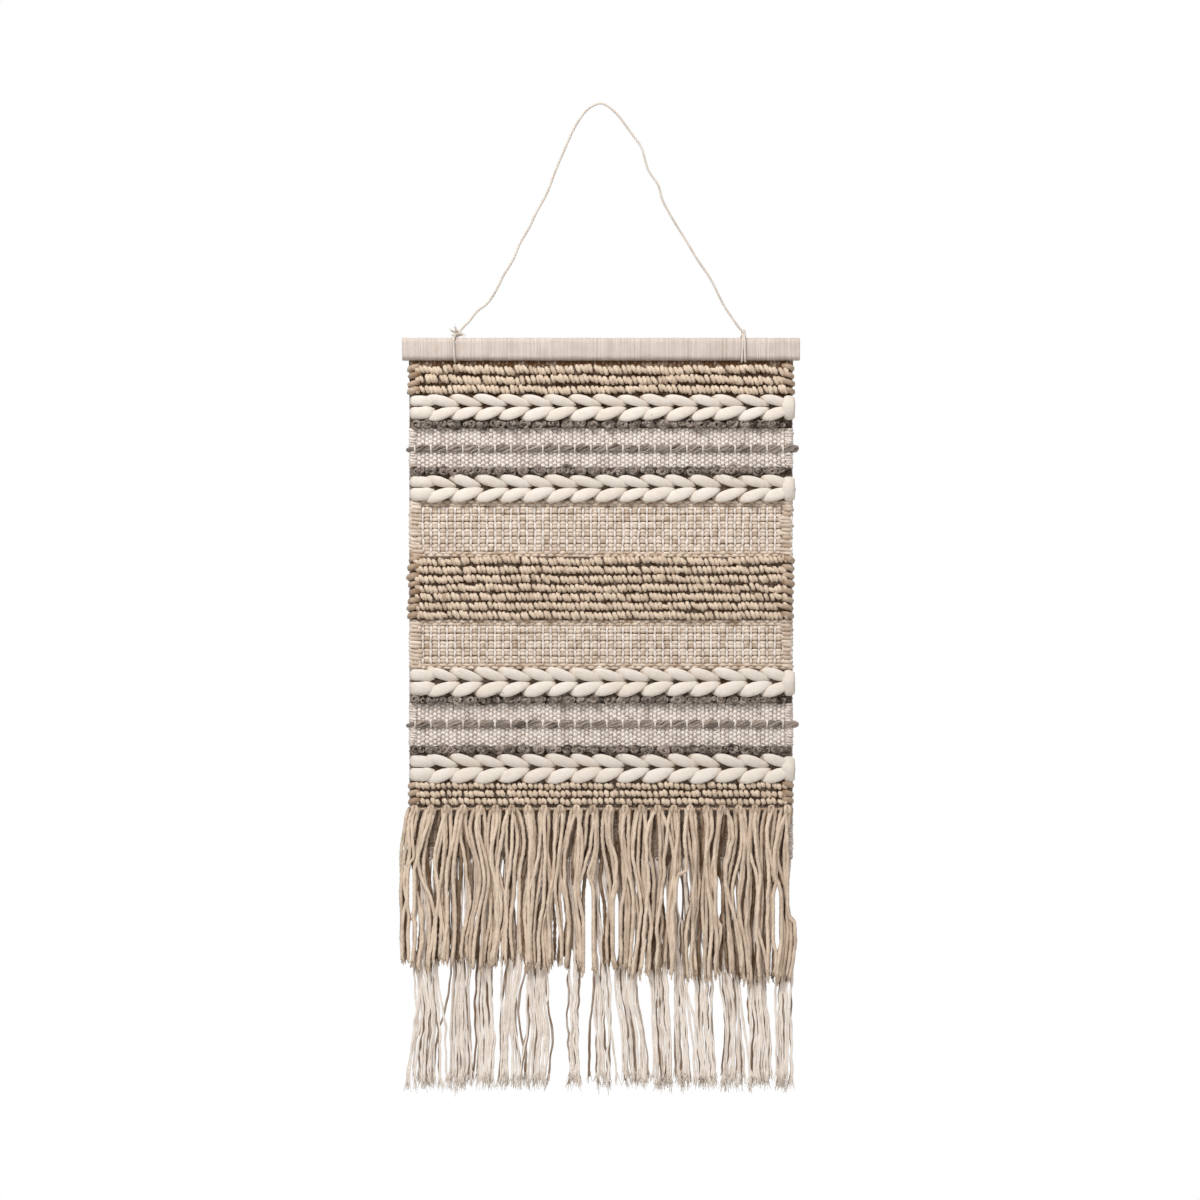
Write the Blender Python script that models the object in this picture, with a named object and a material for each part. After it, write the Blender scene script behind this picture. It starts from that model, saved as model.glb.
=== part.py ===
"""Woven wall hanging on a thread-wrapped batten, with braids, loop pile and two fringes.

Metres, +Z up. The origin is the crown of the hanging cord, where a nail carries it.
+X is to the viewer's right, -Y faces the viewer and +Y faces the wall.
"""

import math

import bmesh
import bpy
from mathutils import Matrix, Vector

# Clearances
GAP = 0.0003            # between pieces that touch on the real object
ROW_GAP = 0.0006        # between neighbouring rows of yarn
PANEL_GAP = 0.0003      # between the two edges that meet on a fold or a hinge line

# Bar: a flat batten with rounded edges, wound with thread
BAR_LENGTH = 0.450
BAR_HEIGHT = 0.0265
BAR_DEPTH = 0.0145
BAR_EDGE_RADIUS = 0.0065
WRAP_THICKNESS = 0.0012
BATTEN_INSET = 0.0015   # batten end inside the wrap's end
BAR_DROP = 0.2646       # crown of the cord to the top of the bar

# Hanging cord and its knots
CORD_DIAMETER = 0.0026
KNOT_SPAN = 0.3231      # between the two knots
KNOT_OFFSET = -0.0004   # of their middle, to the right of the crown
LEFT_STRAND_SHIFT = 0.0040  # of the left knot's strand, to the left of the knot's middle
KNOT_RADIUS = 0.0048
HITCH_RADIUS = 0.0032
CORD_SPACING = 0.0088   # between points of the tube
LOOP_STRAND_PITCH = 0.0030
NOTCH_CLEARANCE = 0.0008  # beside a strand where it passes through the cloth
NOTCH_DEPTH = 0.0075    # below the bar, deep enough for the cloth to swing past the strand

# Cloth
CLOTH_OVERHANG = 0.008  # bar end beyond the cloth's edge
CLOTH_THICKNESS = 0.004
NOSE_FLAT = 0.00015     # half width of the thin edge on a hinge line
HEADING_NOSE = 0.0045   # taper below the bar
FOLD_NOSE = 0.0023      # taper at the fold and at the hem

# Bands of the cloth, heights from top to bottom
HEADING = 0.0047
TOP_PILE_ROW = 0.0108
UPPER_BRAID = 0.0270
WIDE_BOUCLE = 0.0105
GREY_WEAVE_A = 0.0186
DASH_HEIGHT = 0.0070
GREY_WEAVE_B = 0.0172
BOUCLE = 0.0095
MIDDLE_BRAID = 0.0280
BEIGE_WEAVE_UPPER = 0.0630
MIDDLE_PILE_ROW = 0.00975
BEIGE_WEAVE_LOWER = 0.0549
LOWER_BRAID = 0.0300
GREY_WEAVE_C = 0.0194
GREY_WEAVE_D = 0.0207
BOTTOM_PILE_ROW = 0.0085
FRINGE_LINE = 0.0041    # bottom pile row to the fringe cord's axis
CLOTH_TAIL = 0.0578     # fringe cord's axis to the hem
TOP_PILE_ROWS = 3
MIDDLE_PILE_ROWS = 7
BOTTOM_PILE_ROWS = 3

# How far each yarn stands proud of the cloth
PILE_PROUD = 0.0080
BOTTOM_PILE_PROUD = 0.0060
PILE_FOUNDATION = 0.0012
BRAID_PROUD = 0.0125
BOUCLE_PROUD = 0.0065
DASH_PROUD = 0.0032
BRAID_LEAVES = 16
BRAID_NOTCH = 0.0028
ROW_INSET = 0.003       # row end inside the cloth's edge
DASHES = 22
BOUCLE_BUMPS = 30

# Front fringe: tassels knotted over a thin cord
TASSEL_COUNT = 24
TASSEL_MARGIN = 0.0065  # cloth's edge to the outermost tassel's pitch line
FRINGE_CORD_DIAMETER = 0.0030
TASSEL_HEAD_WALL = 0.0013
TASSEL_HEAD_WIDTH = 0.0090
TASSEL_GAP = 0.0012     # between neighbouring tassels
TASSEL_LENGTH = 0.176
TASSEL_RIGHT_EXTRA = 0.022
TASSEL_RIPPLE = 0.005
TASSEL_DEPTH = 0.0052
TASSEL_NECK_DEPTH = 0.0038

# Warp fringe: the ends of the warp, below the hem
WARP_COUNT = 12
WARP_LENGTH = 0.259
WARP_RIPPLE = 0.005
WARP_DEPTH = 0.0048
WARP_FRONT = 0.0014     # front face, before the middle of the cloth
WARP_GAP = 0.0020

# Colours, linear
COTTON = (0.70, 0.60, 0.53, 1)
CREAM = (0.78, 0.69, 0.60, 1)
BEIGE = (0.60, 0.47, 0.34, 1)
GREY = (0.16, 0.13, 0.11, 1)
WARP_WHITE = (0.73, 0.62, 0.53, 1)
WOOD = (0.50, 0.34, 0.20, 1)

BAR_TOP = -BAR_DROP
BAR_BOTTOM = BAR_TOP - BAR_HEIGHT
CLOTH_HALF = BAR_LENGTH / 2 - CLOTH_OVERHANG
CLOTH_FRONT = -CLOTH_THICKNESS / 2
KNOT_HEIGHT = BAR_TOP + GAP + KNOT_RADIUS
LEFT_KNOT_X = KNOT_OFFSET - KNOT_SPAN / 2
RIGHT_KNOT_X = KNOT_OFFSET + KNOT_SPAN / 2
TASSEL_HEAD_RADIUS = FRINGE_CORD_DIAMETER / 2 + GAP + TASSEL_HEAD_WALL
FRINGE_AXIS_Y = CLOTH_FRONT - GAP - TASSEL_HEAD_RADIUS

# Route of the hanging cord between its knots, chosen by hand: X and Z
CORD_ROUTE = (
    (-0.148, -0.245), (-0.140, -0.235), (-0.128, -0.2255), (-0.119, -0.212), (-0.110, -0.194),
    (-0.0995, -0.177), (-0.0915, -0.158), (-0.0815, -0.141), (-0.073, -0.123), (-0.061, -0.101),
    (-0.051, -0.075), (-0.041, -0.0515), (-0.0295, -0.0265), (-0.017, -0.0085), (-0.0055, -0.0010),
    (0.0045, -0.0010), (0.019, -0.0130), (0.035, -0.0345), (0.046, -0.0505), (0.053, -0.074),
    (0.0645, -0.092), (0.070, -0.110), (0.0825, -0.133), (0.095, -0.153), (0.1095, -0.177),
    (0.1245, -0.1995), (0.138, -0.2265), (0.1525, -0.2485),
)


def remove_everything():
    for thing in list(bpy.data.objects):
        bpy.data.objects.remove(thing, do_unlink=True)


def make_material(name, colour, roughness):
    material = bpy.data.materials.new(name)
    material.use_nodes = True
    shader = material.node_tree.nodes["Principled BSDF"]
    shader.inputs["Base Color"].default_value = colour
    shader.inputs["Roughness"].default_value = roughness
    shader.inputs["Metallic"].default_value = 0.0
    return material


def finish_object(name, bm, colour, roughness=0.9, origin=(0, 0, 0)):
    """Turn a bmesh in world coordinates into an object whose origin is the point given."""
    bmesh.ops.recalc_face_normals(bm, faces=bm.faces)
    bmesh.ops.translate(bm, verts=bm.verts, vec=-Vector(origin))
    mesh = bpy.data.meshes.new(name)
    bm.to_mesh(mesh)
    bm.free()
    mesh.materials.append(make_material(name, colour, roughness))
    mesh.shade_smooth()
    mesh.set_sharp_from_angle(angle=math.radians(40))
    thing = bpy.data.objects.new(name, mesh)
    thing.location = origin
    bpy.context.scene.collection.objects.link(thing)
    return thing


def add_loft(bm, rings, closed=False):
    """Skin a row of rings, with caps at both ends unless the row closes on itself."""
    loops = [[bm.verts.new(point) for point in ring] for ring in rings]
    pairs = list(zip(loops, loops[1:]))
    if closed:
        pairs.append((loops[-1], loops[0]))
    for first, second in pairs:
        for i in range(len(first)):
            j = (i + 1) % len(first)
            bm.faces.new((first[i], first[j], second[j], second[i]))
    if not closed:
        bm.faces.new(list(reversed(loops[0])))
        bm.faces.new(loops[-1])


def add_prism_x(bm, profile, left, right):
    """Extrude a closed outline of (Y, Z) points along X."""
    add_loft(bm, [[(x, y, z) for y, z in profile] for x in (left, right)])


def add_ring_loop(bm, path, radius, sides):
    """A closed tube along a closed path of (Y, Z) points, at the X each point carries."""
    rings = []
    count = len(path)
    for i, (x, y, z) in enumerate(path):
        before = Vector(path[i - 1])
        after = Vector(path[(i + 1) % count])
        along = (after - before).normalized()
        outward = along.cross(Vector((1, 0, 0))).normalized()
        ring = []
        for k in range(sides):
            turn = 2 * math.pi * k / sides
            offset = radius * (math.cos(turn) * outward + math.sin(turn) * Vector((1, 0, 0)))
            ring.append(Vector((x, y, z)) + offset)
        rings.append(ring)
    add_loft(bm, rings, closed=True)


def rounded_outline(depth, height, radius, steps):
    """Outline in (Y, Z) of a rectangle with round corners, centred on the origin."""
    radius = min(radius, depth / 2 * 0.98, height / 2 * 0.98)
    points = []
    for quarter, (side_y, side_z) in enumerate(((1, 1), (-1, 1), (-1, -1), (1, -1))):
        for step in range(steps + 1):
            turn = math.pi / 2 * (quarter + step / steps)
            y = side_y * (depth / 2 - radius) + radius * math.cos(turn)
            z = side_z * (height / 2 - radius) + radius * math.sin(turn)
            points.append((y, z))
    return points


def bar_outline(grow):
    """Outline in (Y, Z) of the wrapped bar, grown outward by a distance, in place."""
    middle = (BAR_TOP + BAR_BOTTOM) / 2
    outline = rounded_outline(BAR_DEPTH + 2 * grow, BAR_HEIGHT + 2 * grow, BAR_EDGE_RADIUS + grow, 5)
    return [(y, z + middle) for y, z in outline]


def make_batten():
    bm = bmesh.new()
    end = BAR_LENGTH / 2 - BATTEN_INSET
    add_prism_x(bm, bar_outline(-WRAP_THICKNESS - GAP), -end, end)
    return finish_object("batten", bm, WOOD, 0.7)


def make_bar_wrap():
    """The winding: a sleeve with open ends around the batten."""
    bm = bmesh.new()
    outer, inner = bar_outline(0.0), bar_outline(-WRAP_THICKNESS)
    end = BAR_LENGTH / 2
    loops = []
    for x, outline in ((-end, outer), (end, outer), (end, inner), (-end, inner)):
        loops.append([(x, y, z) for y, z in outline])
    add_loft(bm, loops, closed=True)
    return finish_object("bar_wrap", bm, COTTON)


def combine(name, body, other, operation="UNION"):
    """Join another closed object into the body, or cut it out, and remove it."""
    step = body.modifiers.new("combine", "BOOLEAN")
    step.operation = operation
    step.object = other
    bpy.context.view_layer.update()
    graph = bpy.context.evaluated_depsgraph_get()
    mesh = bpy.data.meshes.new_from_object(body.evaluated_get(graph), depsgraph=graph)
    body.modifiers.clear()
    mesh.name = name
    body.data = mesh
    bpy.data.objects.remove(other, do_unlink=True)
    return body


def cut_strand_notches(name, thing):
    """Cut the two places where the cord's strands pass under the bar and through the cloth."""
    for centre_x, strands in ((LEFT_KNOT_X - LEFT_STRAND_SHIFT, 1), (RIGHT_KNOT_X, 2)):
        reach = (strands - 1) / 2 * LOOP_STRAND_PITCH + CORD_DIAMETER / 2 + NOTCH_CLEARANCE
        outline = [(-BAR_DEPTH, BAR_TOP), (BAR_DEPTH, BAR_TOP),
                   (BAR_DEPTH, BAR_BOTTOM - NOTCH_DEPTH), (-BAR_DEPTH, BAR_BOTTOM - NOTCH_DEPTH)]
        bm = bmesh.new()
        add_prism_x(bm, outline, centre_x - reach, centre_x + reach)
        combine(name, thing, finish_object("notch", bm, WARP_WHITE), "DIFFERENCE")


def make_knot(name, centre_x, radius, strands, shift=0.0):
    """A knot on the hinge line above the bar, with its strands passed round the bar."""
    bm = bmesh.new()
    bmesh.ops.create_icosphere(bm, subdivisions=2, radius=radius)
    centre = Vector((centre_x, 0, KNOT_HEIGHT))
    bmesh.ops.translate(bm, verts=bm.verts, vec=centre)
    knot = finish_object(name, bm, COTTON, origin=centre)
    for strand in range(strands):
        x = centre_x - shift + (strand - (strands - 1) / 2) * LOOP_STRAND_PITCH
        loop = bmesh.new()
        path = [(x, y, z) for y, z in bar_outline(GAP + CORD_DIAMETER / 2)]
        add_ring_loop(loop, path, CORD_DIAMETER / 2, 6)
        knot = combine(name, knot, finish_object("strand", loop, COTTON))
    return knot


def make_hitch_bridge(name, hitch):
    """A short upright that carries a small hitch on its strands."""
    bm = bmesh.new()
    low = BAR_TOP + GAP + CORD_DIAMETER * 0.3
    rings = []
    for z in (low, KNOT_HEIGHT):
        ring = []
        for k in range(8):
            turn = 2 * math.pi * k / 8
            across = LOOP_STRAND_PITCH * 0.7 * math.cos(turn)
            ring.append((RIGHT_KNOT_X + across, CORD_DIAMETER * 0.45 * math.sin(turn), z))
        rings.append(ring)
    add_loft(bm, rings)
    return combine(name, hitch, finish_object("bridge", bm, COTTON))


def smooth_route(points, spacing):
    """Evenly spaced points on a Catmull-Rom curve through the points."""
    ends = [2 * points[0] - points[1]] + points + [2 * points[-1] - points[-2]]
    fine = []
    for a, b, c, d in zip(ends, ends[1:], ends[2:], ends[3:]):
        for step in range(12):
            t = step / 12
            fine.append(0.5 * (2 * b + (c - a) * t + (2 * a - 5 * b + 4 * c - d) * t**2
                               + (3 * b - a - 3 * c + d) * t**3))
    fine.append(points[-1])
    length = sum((q - p).length for p, q in zip(fine, fine[1:]))
    count = max(2, round(length / spacing))
    route, walked, target = [fine[0]], 0.0, 1
    for p, q in zip(fine, fine[1:]):
        step = (q - p).length
        while target < count and walked + step >= target * length / count:
            route.append(p.lerp(q, (target * length / count - walked) / step))
            target += 1
        walked += step
    route.append(fine[-1])
    return route


def make_hanging_cord():
    """The cord from the left knot over the crown to the right hitch, ending a gap short of each."""
    middle = [Vector((x, 0, z)) for x, z in CORD_ROUTE]
    left = Vector((LEFT_KNOT_X, 0, KNOT_HEIGHT))
    right = Vector((RIGHT_KNOT_X, 0, KNOT_HEIGHT))
    start = left + (middle[0] - left).normalized() * (KNOT_RADIUS + GAP)
    end = right + (middle[-1] - right).normalized() * (HITCH_RADIUS + GAP)
    route = smooth_route([start] + middle + [end], CORD_SPACING)
    curve = bpy.data.curves.new("hanging_cord", "CURVE")
    curve.dimensions = "3D"
    curve.bevel_depth = CORD_DIAMETER / 2
    curve.bevel_resolution = 2
    curve.use_fill_caps = True
    spline = curve.splines.new("POLY")
    spline.points.add(len(route) - 1)
    for point, place in zip(spline.points, route):
        point.co = (*place, 1)
    curve.materials.append(make_material("hanging_cord", COTTON, 0.9))
    cord = bpy.data.objects.new("hanging_cord", curve)
    bpy.context.scene.collection.objects.link(cord)
    return cord


def stack_bands():
    """Top and bottom of each band as drops below the bar, worked out from the top down."""
    def rows(height, count):
        return count * height + (count - 1) * ROW_GAP

    order = (
        ("loop_pile_top", rows(TOP_PILE_ROW, TOP_PILE_ROWS)),
        ("braid_1", UPPER_BRAID),
        ("boucle_row_1", WIDE_BOUCLE),
        ("grey_weave_a", GREY_WEAVE_A - 2 * ROW_GAP),
        ("dash_row_1", DASH_HEIGHT),
        ("grey_weave_b", GREY_WEAVE_B - 2 * ROW_GAP),
        ("boucle_row_2", BOUCLE),
        ("braid_2", MIDDLE_BRAID),
        ("beige_weave_upper", BEIGE_WEAVE_UPPER - 2 * ROW_GAP),
        ("loop_pile_middle", rows(MIDDLE_PILE_ROW, MIDDLE_PILE_ROWS)),
        ("beige_weave_lower", BEIGE_WEAVE_LOWER - 2 * ROW_GAP),
        ("braid_3", LOWER_BRAID),
        ("boucle_row_3", BOUCLE),
        ("grey_weave_c", GREY_WEAVE_C - 2 * ROW_GAP),
        ("dash_row_2", DASH_HEIGHT),
        ("grey_weave_d", GREY_WEAVE_D - 2 * ROW_GAP),
        ("boucle_row_4", BOUCLE),
        ("braid_4", LOWER_BRAID),
        ("loop_pile_bottom", rows(BOTTOM_PILE_ROW, BOTTOM_PILE_ROWS)),
    )
    bands, drop = {}, HEADING
    for name, height in order:
        bands[name] = (drop, drop + height)
        drop += height + ROW_GAP
    return bands


BANDS = stack_bands()
FOLD_Z = BAR_BOTTOM - sum(BANDS["beige_weave_lower"]) / 2
FRINGE_AXIS_Z = BAR_BOTTOM - BANDS["loop_pile_bottom"][1] - FRINGE_LINE
HEM_Z = FRINGE_AXIS_Z - CLOTH_TAIL


def panel_outline(top, top_nose, bottom, bottom_nose):
    """Side outline of a cloth panel whose two edges taper to thin noses."""
    half = CLOTH_THICKNESS / 2
    return [
        (NOSE_FLAT, top), (half, top - top_nose), (half, bottom + bottom_nose), (NOSE_FLAT, bottom),
        (-NOSE_FLAT, bottom), (-half, bottom + bottom_nose), (-half, top - top_nose), (-NOSE_FLAT, top),
    ]


def make_cloth_panels():
    """The ground cloth, cut at its one fold because a rigid body can't bend."""
    bm = bmesh.new()
    upper = panel_outline(BAR_BOTTOM - GAP, HEADING_NOSE, FOLD_Z + PANEL_GAP / 2, FOLD_NOSE)
    add_prism_x(bm, upper, -CLOTH_HALF, CLOTH_HALF)
    upper_cloth = finish_object("ground_cloth_upper", bm, WARP_WHITE, origin=(0, 0, BAR_BOTTOM))
    cut_strand_notches("ground_cloth_upper", upper_cloth)
    bm = bmesh.new()
    lower = panel_outline(FOLD_Z - PANEL_GAP / 2, FOLD_NOSE, HEM_Z + PANEL_GAP / 2, FOLD_NOSE)
    add_prism_x(bm, lower, -CLOTH_HALF, CLOTH_HALF)
    finish_object("ground_cloth_lower", bm, WARP_WHITE, origin=(0, 0, FOLD_Z))


def make_pile(name, row_height, count, proud):
    """A band of loop pile: rows of loops side by side on one thin foundation."""
    back = CLOTH_FRONT - GAP
    top = BAR_BOTTOM - BANDS[name][0]
    outline = [(back, top)]
    for row in range(count):
        middle = top - row_height / 2
        for turn in (150, 120, 90, 60, 30):
            angle = math.radians(turn)
            outline.append((back - proud * math.sin(angle), middle - row_height / 2 * math.cos(angle)))
        if row < count - 1:
            outline.append((back - PILE_FOUNDATION, top - row_height - ROW_GAP / 2))
        top -= row_height + ROW_GAP
    outline.append((back, top + ROW_GAP))
    bm = bmesh.new()
    add_prism_x(bm, outline, -CLOTH_HALF + ROW_INSET, CLOTH_HALF - ROW_INSET)
    return finish_object(name, bm, BEIGE)


def make_braid(name):
    """A chunky chain braid: a thick strip whose two edges are scalloped, a leaf to each scallop."""
    high, low = (BAR_BOTTOM - drop for drop in BANDS[name])
    back = CLOTH_FRONT - GAP
    pitch = 2 * CLOTH_HALF / BRAID_LEAVES

    def edge(level, inward, shift, shrink):
        points = []
        for leaf in range(BRAID_LEAVES):
            left = -CLOTH_HALF + leaf * pitch
            points.append((left + shrink, level + inward * (BRAID_NOTCH + shrink)))
            points.append((left + pitch * shift, level + inward * shrink))
        points.append((CLOTH_HALF - shrink, level + inward * (BRAID_NOTCH + shrink)))
        return points

    rings = []
    for y, shrink in ((back, 0.0015), (back - BRAID_PROUD * 0.45, 0.0),
                      (back - BRAID_PROUD, 0.0045)):
        outline = edge(high, -1, 0.45, shrink) + list(reversed(edge(low, 1, 0.45, shrink)))
        rings.append([(x, y, z) for x, z in outline])
    bm = bmesh.new()
    add_loft(bm, rings)
    return finish_object(name, bm, CREAM)


def make_boucle(name):
    """A row of curled grey yarn, as a half-round bar with bumps."""
    high, low = (BAR_BOTTOM - drop for drop in BANDS[name])
    back = CLOTH_FRONT - GAP
    reach = CLOTH_HALF - ROW_INSET
    rings = []
    for i in range(BOUCLE_BUMPS + 1):
        x = -reach + 2 * reach * i / BOUCLE_BUMPS
        proud = BOUCLE_PROUD * (1.0 if i % 2 else 0.75)
        middle, half = (high + low) / 2, (high - low) / 2
        ring = [(x, back, high), (x, back - proud * 0.75, middle + half * 0.72),
                (x, back - proud, middle), (x, back - proud * 0.75, middle - half * 0.72),
                (x, back, low)]
        rings.append(ring)
    bm = bmesh.new()
    add_loft(bm, rings)
    return finish_object(name, bm, GREY)


def make_dashes(name):
    """A grey yarn in long floats: a bar that drops under a warp between one float and the next."""
    high, low = (BAR_BOTTOM - drop for drop in BANDS[name])
    back = CLOTH_FRONT - GAP
    reach = CLOTH_HALF - ROW_INSET
    pitch = 2 * reach / DASHES
    front = []
    for i in range(DASHES):
        left = -reach + i * pitch
        front += [(left + pitch * 0.02, 0.3), (left + pitch * 0.12, 1.0),
                  (left + pitch * 0.86, 1.0), (left + pitch * 0.96, 0.3)]
    outline = [(-reach, back)] + [(x, back - DASH_PROUD * share) for x, share in front]
    outline.append((reach, back))
    rings = [[(x, y, z) for x, y in outline] for z in (low, high)]
    bm = bmesh.new()
    add_loft(bm, rings)
    return finish_object(name, bm, GREY)


def make_fringe_cord():
    """The thin cord that carries the front tassels, its two ends turned back onto the cloth."""
    end = CLOTH_HALF - FRINGE_CORD_DIAMETER / 2
    radius = FRINGE_CORD_DIAMETER / 2
    face = CLOTH_FRONT - GAP
    bend = FRINGE_AXIS_Y + radius * 0.9
    places = [(-end, face), (-end, bend), (-end + radius, FRINGE_AXIS_Y),
              (end - radius, FRINGE_AXIS_Y), (end, bend), (end, face)]
    curve = bpy.data.curves.new("fringe_cord", "CURVE")
    curve.dimensions = "3D"
    curve.bevel_depth = radius
    curve.bevel_resolution = 2
    curve.use_fill_caps = True
    spline = curve.splines.new("POLY")
    spline.points.add(len(places) - 1)
    for point, (x, y) in zip(spline.points, places):
        point.co = (x, y, FRINGE_AXIS_Z, 1)
    curve.materials.append(make_material("fringe_cord", BEIGE, 0.9))
    cord = bpy.data.objects.new("fringe_cord", curve)
    bpy.context.scene.collection.objects.link(cord)
    return cord


def flat_ring(x, y, z, width, depth):
    """Six points round a flat bundle of strands, in the horizontal plane."""
    return [
        (x - width / 2, y, z), (x - width * 0.3, y - depth / 2, z), (x + width * 0.3, y - depth / 2, z),
        (x + width / 2, y, z), (x + width * 0.3, y + depth / 2, z), (x - width * 0.3, y + depth / 2, z),
    ]


def make_tassel_head(centre_x):
    """The knot of a tassel: a short sleeve that turns on the fringe cord."""
    outer = TASSEL_HEAD_RADIUS
    inner = FRINGE_CORD_DIAMETER / 2 + GAP
    loops = []
    for side, radius in ((-1, outer), (1, outer), (1, inner), (-1, inner)):
        x = centre_x + side * TASSEL_HEAD_WIDTH / 2
        ring = []
        for k in range(12):
            turn = 2 * math.pi * k / 12
            ring.append((x, FRINGE_AXIS_Y + radius * math.cos(turn), FRINGE_AXIS_Z + radius * math.sin(turn)))
        loops.append(ring)
    bm = bmesh.new()
    add_loft(bm, loops, closed=True)
    return finish_object("head", bm, BEIGE)


def make_front_tassel(index):
    """One knotted tassel of the front fringe."""
    name = f"front_tassel_{index + 1:02d}"
    pitch = 2 * (CLOTH_HALF - TASSEL_MARGIN) / TASSEL_COUNT
    centre = -CLOTH_HALF + TASSEL_MARGIN + (index + 0.5) * pitch
    share = index / (TASSEL_COUNT - 1)
    length = TASSEL_LENGTH + TASSEL_RIGHT_EXTRA * share**2 + TASSEL_RIPPLE * math.sin(1.9 * index)
    width = pitch - TASSEL_GAP
    neck = FRINGE_AXIS_Z - FRINGE_CORD_DIAMETER / 2 - GAP - TASSEL_HEAD_WALL * 0.4
    rings = []
    for down, wide, deep in ((0.0, 0.46, TASSEL_NECK_DEPTH), (0.06, 0.60, TASSEL_NECK_DEPTH),
                             (0.25, 0.95, TASSEL_DEPTH), (0.65, 1.0, TASSEL_DEPTH),
                             (1.0, 0.86, TASSEL_DEPTH * 0.8)):
        z = neck - down * (length - (FRINGE_AXIS_Z - neck))
        rings.append(flat_ring(centre, FRINGE_AXIS_Y, z, width * wide, deep))
    bm = bmesh.new()
    add_loft(bm, rings)
    skirt = finish_object(name, bm, BEIGE)
    tassel = combine(name, skirt, make_tassel_head(centre))
    axis = Vector((centre, FRINGE_AXIS_Y, FRINGE_AXIS_Z))
    tassel.data.transform(Matrix.Translation(-axis))
    tassel.location = axis
    return tassel


def make_warp_tassel(index):
    """One clump of warp ends below the hem."""
    name = f"warp_tassel_{index + 1:02d}"
    pitch = 2 * CLOTH_HALF / WARP_COUNT
    centre = -CLOTH_HALF + (index + 0.5) * pitch
    length = WARP_LENGTH + WARP_RIPPLE * math.sin(2.3 * index + 1.0)
    top = HEM_Z - PANEL_GAP / 2
    middle = WARP_DEPTH / 2 - WARP_FRONT
    width = pitch - WARP_GAP
    rings = [flat_ring(centre, 0, top, width * 0.94, 2 * NOSE_FLAT)]
    for down, wide, deep in ((FOLD_NOSE * 1.35, 0.94, WARP_DEPTH), (0.25 * length, 1.0, WARP_DEPTH),
                             (0.70 * length, 0.96, WARP_DEPTH), (length, 0.82, WARP_DEPTH * 0.8)):
        rings.append(flat_ring(centre, middle, top - down, width * wide, deep))
    bm = bmesh.new()
    add_loft(bm, rings)
    return finish_object(name, bm, WARP_WHITE, origin=(centre, 0, HEM_Z))


def build():
    remove_everything()
    make_batten()
    make_bar_wrap()
    make_hanging_cord()
    make_knot("left_knot", LEFT_KNOT_X, KNOT_RADIUS, 1, LEFT_STRAND_SHIFT)
    hitch = make_knot("right_hitch", RIGHT_KNOT_X, HITCH_RADIUS, 2)
    make_hitch_bridge("right_hitch", hitch)
    make_cloth_panels()
    top_pile = make_pile("loop_pile_top", TOP_PILE_ROW, TOP_PILE_ROWS, PILE_PROUD)
    cut_strand_notches("loop_pile_top", top_pile)
    make_pile("loop_pile_middle", MIDDLE_PILE_ROW, MIDDLE_PILE_ROWS, PILE_PROUD)
    make_pile("loop_pile_bottom", BOTTOM_PILE_ROW, BOTTOM_PILE_ROWS, BOTTOM_PILE_PROUD)
    for number in (1, 2, 3, 4):
        make_braid(f"braid_{number}")
        make_boucle(f"boucle_row_{number}")
    for number in (1, 2):
        make_dashes(f"dash_row_{number}")
    make_fringe_cord()
    for index in range(TASSEL_COUNT):
        make_front_tassel(index)
    for index in range(WARP_COUNT):
        make_warp_tassel(index)


build()
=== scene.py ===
"""Looks of the woven wall hanging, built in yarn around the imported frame.

Metres, +X to the viewer's right, +Y to the wall, +Z up, origin at the crown of the hanging cord.
"""
import math

import bpy
import numpy as np
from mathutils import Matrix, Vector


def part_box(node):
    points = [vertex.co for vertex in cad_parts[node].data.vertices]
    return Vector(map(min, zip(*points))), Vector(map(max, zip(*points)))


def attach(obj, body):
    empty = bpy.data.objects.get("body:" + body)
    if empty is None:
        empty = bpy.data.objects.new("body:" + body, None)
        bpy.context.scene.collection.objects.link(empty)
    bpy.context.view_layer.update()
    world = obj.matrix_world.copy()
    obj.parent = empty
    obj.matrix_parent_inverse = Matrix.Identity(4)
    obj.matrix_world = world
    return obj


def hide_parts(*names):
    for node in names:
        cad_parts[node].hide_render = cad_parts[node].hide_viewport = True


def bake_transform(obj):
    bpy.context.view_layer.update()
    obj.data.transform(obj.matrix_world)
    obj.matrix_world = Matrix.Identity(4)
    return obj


MM = 0.001
RNG = np.random.default_rng(20)

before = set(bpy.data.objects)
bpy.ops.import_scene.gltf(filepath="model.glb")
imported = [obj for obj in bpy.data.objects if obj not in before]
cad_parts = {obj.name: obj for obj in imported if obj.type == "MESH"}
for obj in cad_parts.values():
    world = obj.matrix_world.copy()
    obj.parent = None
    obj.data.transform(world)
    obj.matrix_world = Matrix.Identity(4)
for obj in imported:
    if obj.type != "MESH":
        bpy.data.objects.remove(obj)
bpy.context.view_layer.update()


def low(node):
    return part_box(node)[0]


def high(node):
    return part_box(node)[1]


# Sizes that follow the frame
HALF_WIDTH = high("ground_cloth_upper").x
CLOTH_TOP = high("ground_cloth_upper").z
HEM = low("ground_cloth_lower").z
BAR_END = high("bar_wrap").x
BAR_TOP, BAR_BOTTOM = high("bar_wrap").z, low("bar_wrap").z
BAR_HALF_DEPTH = high("bar_wrap").y
BAR_EDGE_RADIUS = 6.5 * MM
FRINGE_AXIS_Y, FRINGE_AXIS_Z = -5.4 * MM, (low("fringe_cord").z + high("fringe_cord").z) / 2

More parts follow.
